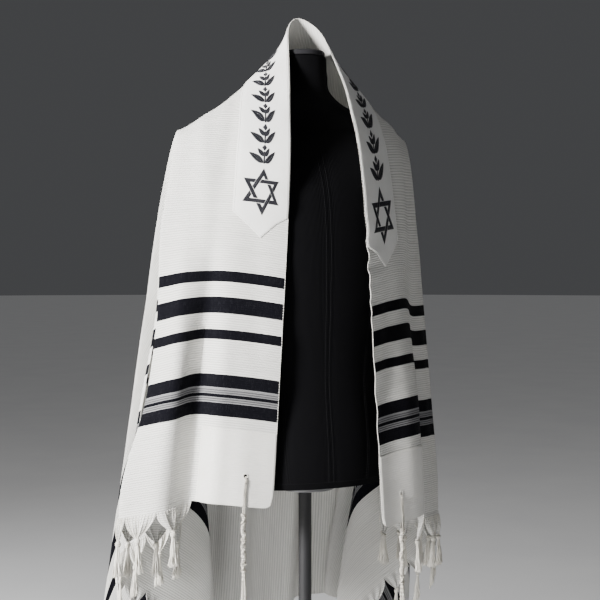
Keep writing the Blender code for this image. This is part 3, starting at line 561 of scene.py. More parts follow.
def flattened(thing):
    """The object's evaluated shape as a plain mesh of the same name. The object itself goes."""
    graph = bpy.context.evaluated_depsgraph_get()
    mesh = bpy.data.meshes.new_from_object(thing.evaluated_get(graph))
    name, data = thing.name, thing.data
    bpy.data.objects.remove(thing, do_unlink=True)
    if data.users == 0:
        bpy.data.meshes.remove(data)
    mesh.name = name
    return mesh


def surface_mesh(name, points, faces, places, layer="fabric"):
    """A mesh with its flat pattern, in metres, as its UV map."""
    mesh = bpy.data.meshes.new(name)
    mesh.from_pydata([tuple(map(float, p)) for p in points], [], faces)
    coordinates = mesh.uv_layers.new(name=layer)
    corners = np.array([loop.vertex_index for loop in mesh.loops])
    coordinates.data.foreach_set("uv", np.asarray(places, np.float32)[corners][:, :2].ravel())
    return mesh


def grid_faces(lines, rows, flipped=False):
    made = []
    for i in range(lines - 1):
        for j in range(rows - 1):
            face = (i * rows + j, i * rows + j + 1, (i + 1) * rows + j + 1, (i + 1) * rows + j)
            made.append(face[::-1] if flipped else face)
    return made


def moved_faces(faces, start):
    return [tuple(start + corner for corner in face) for face in faces]


def ring_faces(rings, sides):
    """The faces of a stack of rings of points, closed at both ends."""
    faces = []
    for row in range(rings - 1):
        for k in range(sides):
            n = (k + 1) % sides
            faces.append((row * sides + k, row * sides + n, (row + 1) * sides + n, (row + 1) * sides + k))
    return [*faces, tuple(range(sides))[::-1], tuple((rings - 1) * sides + k for k in range(sides))]


def wall(thing, thickness, offset):
    shell = thing.modifiers.new("Wall", "SOLIDIFY")
    shell.thickness = thickness
    shell.offset = offset


def lines_mesh(name, paths, thickness):
    """Open lines with a thickness at each point, for the string and stitch trees."""
    points, edges, widths = [], [], []
    for path, width in zip(paths, thickness):
        start = len(points)
        points += [tuple(map(float, p)) for p in path]
        edges += [(start + k, start + k + 1) for k in range(len(path) - 1)]
        widths += list(np.broadcast_to(width, len(path)))
    mesh = bpy.data.meshes.new(name)
    mesh.from_pydata(points, edges, [])
    mesh.attributes.new("thickness", "FLOAT", "POINT").data.foreach_set("value", widths)
    return mesh


def add_node(tree, kind, given, settings):
    """A node with its settings, and each given input linked or set to a value."""
    made = tree.nodes.new(kind)
    for key, value in settings.items():
        setattr(made, key, value)
    for key, value in dict(given).items():
        if isinstance(value, bpy.types.NodeSocket):
            tree.links.new(value, made.inputs[key])
        else:
            made.inputs[key].default_value = value
    return made


# Geometry Nodes
class Tree:
    """A tree with named inputs, which ends in Realize Instances and Set Material."""

    def __init__(self, name, inputs):
        self.group = bpy.data.node_groups.new(name, "GeometryNodeTree")
        face = self.group.interface
        face.new_socket("Geometry", in_out="OUTPUT", socket_type="NodeSocketGeometry")
        face.new_socket("Lines", in_out="INPUT", socket_type="NodeSocketGeometry")
        self.keys = {}
        for label, value in inputs.items():
            kind = "NodeSocketInt" if isinstance(value, int) else "NodeSocketFloat"
            socket = face.new_socket(label, in_out="INPUT", socket_type=kind)
            socket.default_value = value
            self.keys[label] = socket.identifier
        self.start = self.group.nodes.new("NodeGroupInput")

    def node(self, kind, given=(), **settings):
        return add_node(self.group, kind, given, settings)

    def math(self, operation, first, second=0.0):
        return self.node("ShaderNodeMath", {0: first, 1: second}, operation=operation).outputs[0]

    def end(self, geometry, finish):
        smooth = self.node("GeometryNodeSetShadeSmooth", {"Geometry": geometry}).outputs[0]
        real = self.node("GeometryNodeRealizeInstances", {"Geometry": smooth}).outputs[0]
        made = self.node("GeometryNodeSetMaterial", {"Geometry": real, "Material": finish})
        self.group.links.new(made.outputs[0], self.group.nodes.new("NodeGroupOutput").inputs[0])

    def run(self, name, mesh, values, finish):
        thing = in_scene(name, mesh)
        modifier = thing.modifiers.new("Tree", "NODES")
        modifier.node_group = self.group
        for label, value in values.items():
            modifier[self.keys[label]] = value
        made = flattened(thing)
        bpy.data.node_groups.remove(self.group)
        made.materials.clear()
        made.materials.append(finish)
        return in_scene(name, made)


def make_strings(name, paths, thickness, finish, sides=8, plies=3, ply_depth=0.16, turns=160.0):
    """Twisted strings along lines: a lobed profile that turns as it goes."""
    tree = Tree("twisted_string", {"Sides": 8, "Plies": 3.0, "Ply Depth": 0.1, "Turns per Metre": 100.0})
    given = tree.start.outputs
    curve = tree.node("GeometryNodeMeshToCurve", {"Mesh": given["Lines"]}).outputs[0]
    width = tree.node("GeometryNodeInputNamedAttribute", {"Name": "thickness"}, data_type="FLOAT").outputs[0]
    length = tree.node("GeometryNodeSplineParameter").outputs["Length"]
    turn = tree.math("MULTIPLY", tree.math("MULTIPLY", length, given["Turns per Metre"]), FULL_TURN)
    curve = tree.node("GeometryNodeSetCurveRadius", {"Curve": curve, "Radius": width}).outputs[0]
    curve = tree.node("GeometryNodeSetCurveTilt", {"Curve": curve, "Tilt": turn}).outputs[0]
    ring = tree.node("GeometryNodeCurvePrimitiveCircle", {"Resolution": given["Sides"], "Radius": 1.0})
    factor = tree.node("GeometryNodeSplineParameter").outputs["Factor"]
    lobe = tree.math("MULTIPLY", tree.math("MULTIPLY", factor, given["Plies"]), FULL_TURN)
    lobe = tree.math("MULTIPLY", tree.math("COSINE", lobe), given["Ply Depth"])
    place = tree.node("GeometryNodeInputPosition").outputs[0]
    swollen = tree.node("ShaderNodeVectorMath", {0: place, "Scale": tree.math("ADD", lobe, 1.0)},
                        operation="SCALE")
    profile = tree.node("GeometryNodeSetPosition", {"Geometry": ring.outputs[0],
                                                    "Position": swollen.outputs[0]}).outputs[0]
    made = tree.node("GeometryNodeCurveToMesh", {"Curve": curve, "Profile Curve": profile, "Fill Caps": True})
    if "Scale" in made.inputs:
        radius = tree.node("GeometryNodeInputRadius").outputs[0]
        tree.group.links.new(radius, made.inputs["Scale"])
    tree.end(made.outputs[0], finish)
    values = {"Sides": sides, "Plies": float(plies), "Ply Depth": ply_depth, "Turns per Metre": turns}
    return tree.run(name, lines_mesh(name, paths, thickness), values, finish)


def make_stitches(name, paths, finish, spacing=0.0034, length=0.0025, radius=0.00048, seed=3):
    """A row of thread stitches along each line."""
    tree = Tree("row_of_stitches", {"Spacing": 0.003, "Stitch Length": 0.002, "Thread Radius": 0.0003,
                                    "Seed": 1})
    given = tree.start.outputs
    curve = tree.node("GeometryNodeMeshToCurve", {"Mesh": given["Lines"]}).outputs[0]
    dots = tree.node("GeometryNodeCurveToPoints", {"Curve": curve, "Length": given["Spacing"]}, mode="LENGTH")
    bead = tree.node("GeometryNodeMeshUVSphere", {"Segments": 6, "Rings": 4, "Radius": 0.5}).outputs[0]
    across = tree.math("MULTIPLY", given["Thread Radius"], 2.0)
    size = tree.node("ShaderNodeCombineXYZ", {"X": across, "Y": across, "Z": given["Stitch Length"]})
    bead = tree.node("GeometryNodeTransform", {"Geometry": bead, "Scale": size.outputs[0]}).outputs[0]
    vary = tree.node("FunctionNodeRandomValue", {2: 0.86, 3: 1.12, "Seed": given["Seed"]}, data_type="FLOAT")
    rows = tree.node("GeometryNodeInstanceOnPoints", {"Points": dots.outputs["Points"], "Instance": bead,
                                                      "Rotation": dots.outputs["Rotation"],
                                                      "Scale": vary.outputs[1]}).outputs[0]
    tree.end(rows, finish)
    values = {"Spacing": spacing, "Stitch Length": length, "Thread Radius": radius, "Seed": seed}
    return tree.run(name, lines_mesh(name, paths, [radius] * len(paths)), values, finish)


# Materials
class Finish:
    """A material's nodes, joined by short calls."""

    def __init__(self, name, roughness, sheen=0.0, sheen_roughness=0.5, specular=0.5):
        self.material = bpy.data.materials.new(name)
        self.material.use_nodes = True
        self.tree = self.material.node_tree
        self.shader = self.tree.nodes["Principled BSDF"]
        inputs = self.shader.inputs
        inputs["Roughness"].default_value = roughness
        inputs["Sheen Weight"].default_value = sheen
        inputs["Sheen Roughness"].default_value = sheen_roughness
        inputs["Specular IOR Level"].default_value = specular

    def node(self, kind, given=(), **settings):
        return add_node(self.tree, kind, given, settings)

    def math(self, operation, first, second=0.0):
        return self.node("ShaderNodeMath", {0: first, 1: second}, operation=operation).outputs[0]

    def place(self, source="Object", scale=(1, 1, 1)):
        """The place for a pattern: on the object, or on the piece's own flat map of that name."""
        if source == "Object":
            where = self.node("ShaderNodeTexCoord").outputs["Object"]
        else:
            where = self.node("ShaderNodeUVMap", uv_map=source).outputs[0]
        return self.node("ShaderNodeMapping", {"Vector": where, "Scale": scale}).outputs[0]

    def noise(self, where, scale, detail=3.0, rough=0.55):
        return self.node("ShaderNodeTexNoise", {"Vector": where, "Scale": scale, "Detail": detail,
                                                "Roughness": rough}).outputs[0]

    def spread(self, value, low, high, to_low=0.0, to_high=1.0):
        return self.node("ShaderNodeMapRange", {0: value, 1: low, 2: high, 3: to_low, 4: to_high}).outputs[0]

    def mix(self, share, first, second, blend="MIX"):
        made = self.node("ShaderNodeMix", {0: share, 6: first, 7: second}, data_type="RGBA", blend_type=blend)
        return made.outputs[2]

    def grey(self, value):
        return self.node("ShaderNodeCombineColor", {0: value, 1: value, 2: value}).outputs[0]

    def waves(self, value, period):
        """0 to 1 and back once in each period."""
        turn = self.math("MULTIPLY", value, FULL_TURN / period)
        return self.math("ADD", self.math("MULTIPLY", self.math("SINE", turn), 0.5), 0.5)

    def finish(self, colour, height=None, distance=0.0004, strength=0.7, roughness=None):
        self.tree.links.new(colour, self.shader.inputs["Base Color"])
        if height is not None:
            bump = self.node("ShaderNodeBump", {"Height": height, "Strength": strength, "Distance": distance})
            self.tree.links.new(bump.outputs[0], self.shader.inputs["Normal"])
        if roughness is not None:
            self.tree.links.new(roughness, self.shader.inputs["Roughness"])
        return self.material


WHITE_WOOL = (0.80, 0.795, 0.765, 1)
BLACK_WOOL = (0.0030, 0.0030, 0.0052, 1)
THREAD_GREY = (0.085, 0.085, 0.09, 1)
PALE_GREY = (0.25, 0.25, 0.258, 1)
RIB = 0.0042
STRIPE_REACH = 0.5
# Where each stripe starts, from the short end, and which yarn it is
STRIPES = (
    (0.1560, BLACK_WOOL), (0.1782, PALE_GREY), (0.1802, THREAD_GREY), (0.1820, PALE_GREY),
    (0.1842, THREAD_GREY), (0.1860, BLACK_WOOL), (0.1874, PALE_GREY), (0.1893, BLACK_WOOL),
    (0.1936, PALE_GREY), (0.1955, BLACK_WOOL), (0.1969, THREAD_GREY), (0.1986, PALE_GREY),
    (0.2006, THREAD_GREY), (0.2024, PALE_GREY), (0.2056, BLACK_WOOL), (0.2295, WHITE_WOOL),
    (0.2925, BLACK_WOOL), (0.3105, WHITE_WOOL),
    (0.3395, BLACK_WOOL), (0.3675, WHITE_WOOL),
    (0.3955, BLACK_WOOL), (0.4150, WHITE_WOOL),
)


def striped_wool():
    """Ribbed white wool with woven black stripes, its pattern set by the place on the flat cloth."""
    made = Finish("ribbed_wool", 0.92, sheen=0.02, sheen_roughness=0.45, specular=0.07)
    flat = made.place("fabric")
    parts = made.node("ShaderNodeSeparateXYZ", {0: flat}).outputs
    along, across = parts[0], parts[1]
    waver = made.noise(made.place("fabric", (30, 900, 1)), 1.0)
    waver = made.math("MULTIPLY", made.math("SUBTRACT", waver, 0.5), 0.0007)
    from_end = made.math("MINIMUM", along, made.math("SUBTRACT", CLOTH_LENGTH, along))
    ramp = made.node("ShaderNodeValToRGB")
    made.tree.links.new(made.math("DIVIDE", made.math("ADD", from_end, waver), STRIPE_REACH), ramp.inputs[0])
    ramp.color_ramp.interpolation = "CONSTANT"
    first, last = ramp.color_ramp.elements
    first.color = last.color = WHITE_WOOL
    last.position = STRIPES[0][0] / STRIPE_REACH
    last.color = STRIPES[0][1]
    for start, colour in STRIPES[1:]:
        ramp.color_ramp.elements.new(start / STRIPE_REACH).color = colour
    stripe = ramp.outputs[0]
    light = made.node("ShaderNodeSeparateColor", {0: stripe}).outputs[0]
    uneven = made.noise(made.place("fabric", (420, 14, 1)), 1.0, 2.0)
    uneven = made.math("MULTIPLY", made.math("SUBTRACT", uneven, 0.5), 0.0016)
    rib = made.waves(made.math("ADD", along, uneven), RIB)
    rib = made.math("POWER", rib, 0.6)
    weft = made.waves(along, 0.00105)
    warp = made.waves(across, 0.00090)
    weave = made.math("MULTIPLY", weft, warp)
    slub = made.noise(made.place("fabric", (260, 9, 1)), 1.0, 3.0)
    fuzz = made.noise(made.place("fabric"), 2600.0, 2.0)
    rib_part = made.math("MULTIPLY", rib, made.spread(light, 0.0, 0.8, 0.25, 1.0))
    height = made.math("ADD", rib_part, made.math("MULTIPLY", weave, 0.28))
    height = made.math("ADD", height, made.math("MULTIPLY", fuzz, 0.16))
    # Painted shade: the colour darkens in the valleys between the ribs and between the woven threads; the
    # slub's unevenness is the yarn's own tone.
    rib_valley_shade = made.spread(rib, 0.0, 0.55, 0.66, 1.0)
    shade = made.math("MULTIPLY", rib_valley_shade, made.spread(slub, 0.25, 0.75, 0.93, 1.04))
    shade = made.math("MULTIPLY", shade, made.spread(weave, 0.0, 1.0, 0.95, 1.0))
    colour = made.mix(1.0, stripe, made.grey(shade), "MULTIPLY")
    old = made.noise(made.place("fabric"), 7.0, 3.0)
    colour = made.mix(made.spread(old, 0.4, 0.8, 0.0, 0.10), colour, (0.70, 0.66, 0.55, 1), "MULTIPLY")
    glint = made.math("GREATER_THAN", made.noise(made.place("fabric", (60, 2400, 1)), 1.0, 1.0), 0.66)
    dark = made.spread(light, 0.0, 0.2, 0.05, 0.0)
    colour = made.mix(made.math("MULTIPLY", glint, dark), colour, (0.30, 0.30, 0.34, 1))
    return made.finish(colour, height, 0.00070, 0.95)


def satin_weave(name, colour, rib=0.0):
    """Smooth band cloth with fine cords, and a faint wide rib where the shawl shows through."""
    made = Finish(name, 0.48, sheen=0.25, sheen_roughness=0.35, specular=0.45)
    parts = made.node("ShaderNodeSeparateXYZ", {0: made.place("fabric")}).outputs
    cord = made.waves(parts[0], 0.00085)
    cross = made.waves(parts[1], 0.00120)
    thread = made.noise(made.place("fabric", (900, 40, 1)), 1.0, 2.0)
    broad = made.noise(made.place("fabric"), 26.0, 2.0)
    height = made.math("ADD", made.math("MULTIPLY", cord, 0.35), made.math("MULTIPLY", cross, 0.22))
    height = made.math("ADD", height, made.math("MULTIPLY", broad, 1.4))
    if rib:
        height = made.math("ADD", height, made.math("MULTIPLY", made.waves(parts[0], RIB), rib))
    # Painted shade: the colour darkens in the hollows between the fine cords; the thread noise is the yarn's
    # own uneven tone.
    tone = made.math("MULTIPLY", made.spread(cord, 0.0, 1.0, 0.955, 1.0),
                     made.spread(thread, 0.3, 0.7, 0.97, 1.02))
    mixed = made.mix(made.spread(broad, 0.45, 0.75, 0.0, 0.14), colour, (0.74, 0.71, 0.62, 1), "MULTIPLY")
    mixed = made.mix(1.0, mixed, made.grey(tone), "MULTIPLY")
    rough = made.spread(thread, 0.2, 0.8, 0.42, 0.60)
    return made.finish(mixed, height, 0.00030, 0.55, rough)


def stitched_silk():
    """Black satin stitch, laid side by side across each shape."""
    made = Finish("black_satin_stitch", 0.42, sheen=0.05, sheen_roughness=0.3, specular=0.35)
    where = made.place("stitch")
    parts = made.node("ShaderNodeSeparateXYZ", {0: where}).outputs
    wobble = made.math("MULTIPLY", made.noise(made.place("stitch", (300, 30, 1)), 1.0), 0.0006)
    thread = made.waves(made.math("ADD", parts[0], wobble), 0.00062)
    stray = made.noise(made.place("stitch", (1500, 90, 1)), 1.0, 2.0)
    height = made.math("ADD", thread, made.math("MULTIPLY", stray, 0.5))
    colour = made.mix(made.spread(stray, 0.45, 0.8, 0.0, 0.55),
                      (0.008, 0.008, 0.013, 1), (0.045, 0.046, 0.06, 1))
    # Painted shade: darker in the gaps between the laid threads.
    colour = made.mix(made.spread(thread, 0.0, 0.4, 0.6, 0.0), colour, (0.004, 0.004, 0.006, 1))
    return made.finish(colour, height, 0.00035, 0.8, made.spread(stray, 0.2, 0.8, 0.30, 0.52))


def spun_yarn(name, colour, shade):
    made = Finish(name, 0.80, sheen=0.35, sheen_roughness=0.5, specular=0.3)
    fibre = made.noise(made.place("Object"), 1500.0, 3.0)
    long_fibre = made.noise(made.place("Object", (1400, 1400, 160)), 1.0, 2.0)
    tone = made.noise(made.place("Object"), 60.0, 3.0)
    mixed = made.mix(made.spread(tone, 0.35, 0.75, 0.0, 0.8), colour, shade)
    mixed = made.mix(made.spread(long_fibre, 0.25, 0.55, 0.35, 0.0), mixed, (0.50, 0.47, 0.40, 1))
    height = made.math("ADD", fibre, long_fibre)
    return made.finish(mixed, height, 0.00035, 0.8, made.spread(fibre, 0.2, 0.8, 0.72, 0.92))


def black_jersey():
    """Fine knitted cover, with wales that run down the form."""
    made = Finish("black_jersey", 0.94, sheen=0.0, sheen_roughness=0.4, specular=0.04)
    parts = made.node("ShaderNodeSeparateXYZ", {0: made.place("wrap")}).outputs
    wale = made.waves(parts[0], 0.0016)
    course = made.waves(made.math("ADD", parts[1], made.math("MULTIPLY", wale, 0.0004)), 0.0013)
    fluff = made.noise(made.place("Object"), 700.0, 4.0)
    lint = made.noise(made.place("Object"), 160.0, 6.0, 0.75)
    height = made.math("ADD", made.math("MULTIPLY", wale, 0.7), made.math("MULTIPLY", course, 0.5))
    height = made.math("ADD", height, made.math("MULTIPLY", fluff, 0.4))
    # Painted shade: darker in the hollows between the wales.
    colour = made.mix(made.spread(wale, 0.0, 0.5, 0.6, 0.0),
                      (0.0048, 0.0048, 0.0056, 1), (0.002, 0.002, 0.0025, 1))
    colour = made.mix(made.spread(lint, 0.68, 0.82, 0.0, 0.25), colour, (0.04, 0.04, 0.04, 1))
    return made.finish(colour, height, 0.00045, 0.8, made.spread(fluff, 0.2, 0.8, 0.80, 0.97))


def black_paint():
    made = Finish("black_satin_paint", 0.42, specular=0.4)
    made.shader.inputs["Coat Weight"].default_value = 0.15
    peel = made.noise(made.place("Object"), 420.0, 2.0)
    cloud = made.noise(made.place("Object"), 14.0, 4.0)
    dust = made.noise(made.place("Object", (30, 30, 8)), 9.0, 6.0, 0.7)
    colour = made.mix(made.spread(cloud, 0.35, 0.7), (0.016, 0.016, 0.018, 1), (0.011, 0.011, 0.012, 1))
    colour = made.mix(made.spread(dust, 0.62, 0.78, 0.0, 0.3), colour, (0.050, 0.048, 0.044, 1))
    return made.finish(colour, peel, 0.00012, 0.3, made.spread(dust, 0.3, 0.75, 0.34, 0.56))


def dark_steel():
    made = Finish("dark_steel", 0.35, specular=0.5)
    made.shader.inputs["Metallic"].default_value = 1.0
    brush = made.noise(made.place("Object", (60, 60, 1800)), 1.0, 3.0)
    colour = made.mix(made.spread(brush, 0.3, 0.7), (0.22, 0.22, 0.23, 1), (0.34, 0.34, 0.35, 1))
    return made.finish(colour, brush, 0.0001, 0.3, made.spread(brush, 0.2, 0.8, 0.28, 0.45))


def pale_floor():
    made = Finish("pale_floor", 0.75, specular=0.2)
    cloud = made.noise(made.place("Object"), 2.2, 3.0)
    grain = made.noise(made.place("Object"), 260.0, 2.0)
    colour = made.mix(made.spread(cloud, 0.3, 0.7), (0.66, 0.66, 0.66, 1), (0.63, 0.63, 0.635, 1))
    return made.finish(colour, grain, 0.0002, 0.15)


def jersey_thread():
    made = Finish("black_thread", 0.85, specular=0.15)
    fibre = made.noise(made.place("Object"), 1500.0, 3.0)
    colour = made.mix(made.spread(fibre, 0.3, 0.7), (0.008, 0.008, 0.009, 1), (0.014, 0.014, 0.016, 1))
    return made.finish(colour, fibre, 0.0003, 0.6)


def jersey_cap():
    made = Finish("cap_jersey", 0.90, sheen=0.04, sheen_roughness=0.4, specular=0.10)
    knit = made.noise(made.place("Object"), 900.0, 3.0)
    colour = made.mix(made.spread(knit, 0.3, 0.7), (0.010, 0.010, 0.012, 1), (0.020, 0.020, 0.022, 1))
    return made.finish(colour, knit, 0.0004, 0.6, made.spread(knit, 0.2, 0.8, 0.78, 0.95))


# Pieces of the shawl
def make_cloth(drape, finish):
    mesh = surface_mesh("shawl_cloth_sheet", drape.points, drape.faces, drape.flat)
    cloth = link("shawl_cloth_sheet", mesh, finish)
    wall(cloth, CLOTH_WALL, 0.0)
    return cloth


def corner_place(at_back, across):
    return CLOTH_WIDTH - across if at_back else across


def make_punch(drape):
    """One round punch for each eyelet, joined in one mesh."""
    points, faces, sides = [], [], 20
    for _, side, at_back in CORNERS:
        across = corner_place(at_back, EYELET_INSET)
        middle = Vector(drape.at(side, EYELET_INSET, across))
        turn = Vector(drape.outward(side, EYELET_INSET, across)).to_track_quat("Z", "Y").to_matrix()
        faces += moved_faces(ring_faces(2, sides), len(points))
        for height in (-0.006, 0.006):
            for k in range(sides):
                angle = FULL_TURN * k / sides
                local = Vector((EYELET_RADIUS * math.cos(angle), EYELET_RADIUS * math.sin(angle), height))
                points.append(tuple(middle + turn @ local))
    mesh = bpy.data.meshes.new("punch")
    mesh.from_pydata(points, [], faces)
    return in_scene("punch", mesh)


def punched(thing, punch):
    """The piece with its walls and its eyelets cut out."""
    hole = thing.modifiers.new("Eyelet", "BOOLEAN")
    hole.object = punch
    hole.solver = "EXACT"
    return crisp(thing)


def crisp(thing):
    """The piece as a plain mesh, smooth on its faces and sharp along its thin edges."""
    name, finish = thing.name, thing.data.materials[0]
    made = link(name, flattened(thing), finish)
    made.data.set_sharp_from_angle(angle=math.radians(50))
    return made


def band_outline(middle_distance):
    """How far across the band reaches at a distance along it from its middle, low and high."""
    past = max(0.0, abs(middle_distance) - (BAND_LENGTH / 2 - BAND_POINT)) / BAND_POINT
    half = 0.5 * (BAND_WIDTH - EDGE_INSET) * (1 - past)
    middle = EDGE_INSET + 0.5 * (BAND_WIDTH - EDGE_INSET)
    return middle - half, middle + half


def on_band(drape, along, across, lift):
    """A point over the band, at a distance along it from its middle (left is negative)."""
    side = -1 if along < 0 else 1
    return drape.at(side, CLOTH_LENGTH / 2 - abs(along), across, lift)


def puff(height, from_edge):
    """How far a sewn piece swells up at a distance in from its stitched edge."""
    return height * (1 - math.exp(-from_edge / EDGE_SOFTNESS))


def make_neckband(drape, finish):
    shoulder = BAND_LENGTH / 2 - BAND_POINT
    straight = np.linspace(-shoulder, shoulder, 181)
    tips = shoulder + BAND_POINT * np.linspace(0, 0.995, 10)[1:]
    stations = np.concatenate([-tips[::-1], straight, tips])
    points, places, wide = [], [], 17
    for along in stations:
        low, high = band_outline(along)
        for share in np.linspace(0, 1, wide):
            across = low + (high - low) * share
            edge = min(share, 1 - share) * (high - low)
            points.append(on_band(drape, along, across, PIECE_BASE + puff(BAND_PUFF, edge)))
            places.append((across, along))
    mesh = surface_mesh("neckband_sheet", points, grid_faces(len(stations), wide, True), places)
    band = link("neckband_sheet", mesh, finish)
    wall(band, BAND_WALL, 1.0)
    return crisp(band)


def make_patch(drape, name, side, at_back, finish):
    steps = 27
    wide, long = np.linspace(EDGE_INSET, PATCH_WIDTH, steps), np.linspace(EDGE_INSET, PATCH_LENGTH, steps)
    points, places = [], []
    for across in wide:
        for from_end in long:
            edge = min(PATCH_WIDTH - across, PATCH_LENGTH - from_end, across, from_end)
            lift = PIECE_BASE + puff(PATCH_PUFF, edge)
            points.append(drape.at(side, from_end, corner_place(at_back, across), lift))
            places.append((from_end, across))
    faces = grid_faces(steps, steps, (side > 0) != at_back)
    patch = link(f"patch_sheet_{name}", surface_mesh(name, points, faces, places), finish)
    wall(patch, PATCH_WALL, 1.0)
    return patch


def seam_paths(drape):
    """Lines for the stitches round the band and the patches."""
    lift = PIECE_BASE + BAND_WALL + 0.0006
    shoulder = BAND_LENGTH / 2 - BAND_POINT
    paths = []
    for across in (0.0035, BAND_WIDTH - STITCH_INSET):
        paths.append([on_band(drape, along, across, lift) for along in np.linspace(-shoulder, shoulder, 300)])
    for end in (-1, 1):
        for edge in (0, 1):
            line = []
            for along in np.linspace(shoulder, BAND_LENGTH / 2 - 0.003, 20):
                low, high = band_outline(along)
                middle = 0.5 * (low + high)
                across = low + STITCH_INSET if edge == 0 else high - STITCH_INSET
                across = min(across, middle) if edge == 0 else max(across, middle)
                line.append(on_band(drape, end * along, across, lift))
            paths.append(line)
    for _, side, at_back in CORNERS:
        inner, top = PATCH_WIDTH - STITCH_INSET, PATCH_LENGTH - STITCH_INSET
        lift = PIECE_BASE + PATCH_WALL + 0.0004
        corners = ((0.003, 0.003), (top, 0.003), (top, inner), (0.003, inner), (0.003, 0.003))
        for (a, b), (c, d) in zip(corners, corners[1:]):
            paths.append([drape.at(side, a + (c - a) * s, corner_place(at_back, b + (d - b) * s), lift)
                          for s in np.linspace(0, 1, 45)])
    return paths


def eyelet_rings(drape):
    """Buttonhole thread round each eyelet, as short lines across its rim."""
    rings = []
    for _, side, at_back in CORNERS:
        for k in range(EYELET_STITCHES):
            turn = FULL_TURN * k / EYELET_STITCHES
            line = []
            for reach, rise in ((0.0034, -0.0004), (0.0037, 0.0007), (0.0046, 0.0009), (0.0056, 0.0002)):
                from_end = EYELET_INSET + reach * math.cos(turn)
                across = corner_place(at_back, EYELET_INSET + reach * math.sin(turn))
                lift = PIECE_BASE + PATCH_WALL + 0.0004 + rise
                line.append(drape.at(side, from_end, across, lift))
            rings.append(line)
    return rings


# Embroidery on the band
def laid_bar(start, end, half, cut_start=0.0, cut_end=0.0, slant_start=0.0, slant_end=0.0):
    """A straight bar of stitches, with its two ends cut at a slant, as a small grid."""
    start, end = np.array(start, float), np.array(end, float)
    line = end - start
    length = np.linalg.norm(line)
    line /= length
    off = np.array([-line[1], line[0]])
    steps = max(3, int(length / 0.003))
    grid = []
    for i in range(steps + 1):
        row = []
        for j in (-1, -0.5, 0, 0.5, 1):
            low = cut_start + slant_start * j * half
            high = length - cut_end + slant_end * j * half
            far = low + (high - low) * i / steps
            row.append((*(start + line * far + off * j * half), far, j * half))
        grid.append(row)
    return grid


def star_bars(middle, reach, half):
    """Two laced triangles. Each bar goes over one crossing and under the next."""
    bars = []
    slant = 1 / math.tan(math.radians(60))
    for first in (0, 180):
        corners = [np.array([reach * math.cos(math.radians(first + 120 * k)),
                             reach * math.sin(math.radians(first + 120 * k))]) for k in range(3)]
        for k in range(3):
            start, end = corners[k], corners[(k + 1) % 3]
            length = np.linalg.norm(end - start)
            cross = length * 2 / 3
            gap = (half + STAR_LACE_GAP) / math.sin(math.radians(60))
            line = (start + middle, end + middle, half)
            bars += [laid_bar(*line, 0.0, length - cross + gap, math.sqrt(3), slant),
                     laid_bar(*line, cross + gap, 0.0, slant, -math.sqrt(3))]
    return bars


def leaf(base, lean, length, width):
    """A pointed leaf with a split along its middle, as two small grids."""
    halves = []
    direction = np.array([math.cos(lean), math.sin(lean)])
    off = np.array([-direction[1], direction[0]])
    for which in (-1, 1):
        grid = []
        for i in range(9):
            s = i / 8
            swell = width * math.sin(math.pi * s ** 0.72) ** 0.8
            row = []
            for j in range(4):
                reach = which * (LEAF_SLIT + max(swell - LEAF_SLIT, 0.0001) * j / 3)
                bend = 0.10 * length * s * s
                place = np.array(base) + direction * length * s + off * (reach + bend)
                row.append((*place, length * s + reach * 0.6, reach))
            grid.append(row[::which])
        halves.append(grid)
    return halves


def lozenge(middle, long, wide):
    grid = []
    for i in range(9):
        s = -1 + i / 4
        half = wide * (1 - abs(s)) + 0.0001
        grid.append([(middle[0] + s * long, middle[1] + half * j, s * long, half * j)
                     for j in (-1, -0.5, 0, 0.5, 1)])
    return grid


def vine(start, end, middle):
    """A stem with paired leaves and lozenges, between two distances along the band."""
    shapes = []
    way = 1 if end > start else -1
    heading = 0.0 if way > 0 else math.pi
    for k in range(int(abs(end - start) / VINE_STEP)):
        root = start + way * VINE_STEP * (k + 0.12)
        shapes.append(laid_bar((root, middle), (root + way * STEM_LENGTH, middle), STEM_HALF))
        for which in (-1, 1):
            for ahead, off, lean, length, width in LEAVES:
                base = (root + way * ahead, middle + which * off)
                shapes += leaf(base, heading + way * which * math.radians(lean), length, width)
        shapes.append(lozenge((root + way * LOZENGE_AHEAD, middle), *LOZENGE_SIZE))
    return shapes


def make_embroidery(drape, name, shapes, finish):
    """Raised stitching from small grids of (along, across, stitch place)."""
    points, faces, places = [], [], []
    base = PIECE_BASE + BAND_PUFF + BAND_WALL + 0.00015
    for grid in shapes:
        start, rows = len(points), len(grid[0])
        for i, row in enumerate(grid):
            for j, (along, across, far, off) in enumerate(row):
                inner = 0 < i < len(grid) - 1 and 0 < j < rows - 1
                points.append(on_band(drape, along, across, base + (EMBROIDERY_SWELL if inner else 0.0)))
                places.append((far, off))
        a, b = np.array(grid[0][0][:2]), np.array(grid[0][-1][:2])
        ahead = np.array(grid[-1][rows // 2][:2]) - np.array(grid[0][rows // 2][:2])
        turned = ahead[0] * (b - a)[1] - ahead[1] * (b - a)[0] > 0
        faces += moved_faces(grid_faces(len(grid), rows, turned), start)
    mesh = surface_mesh(name, points, faces, places, "stitch")
    work = link(name, mesh, finish)
    wall(work, EMBROIDERY_WALL, 1.0)
    return work


# Fringe of the short ends
def fringe_places():
    start, end = PATCH_WIDTH + FRINGE_END_GAP, CLOTH_WIDTH - PATCH_WIDTH - FRINGE_END_GAP
    count = int((end - start) / FRINGE_PITCH)
    return start, (end - start) / count, count


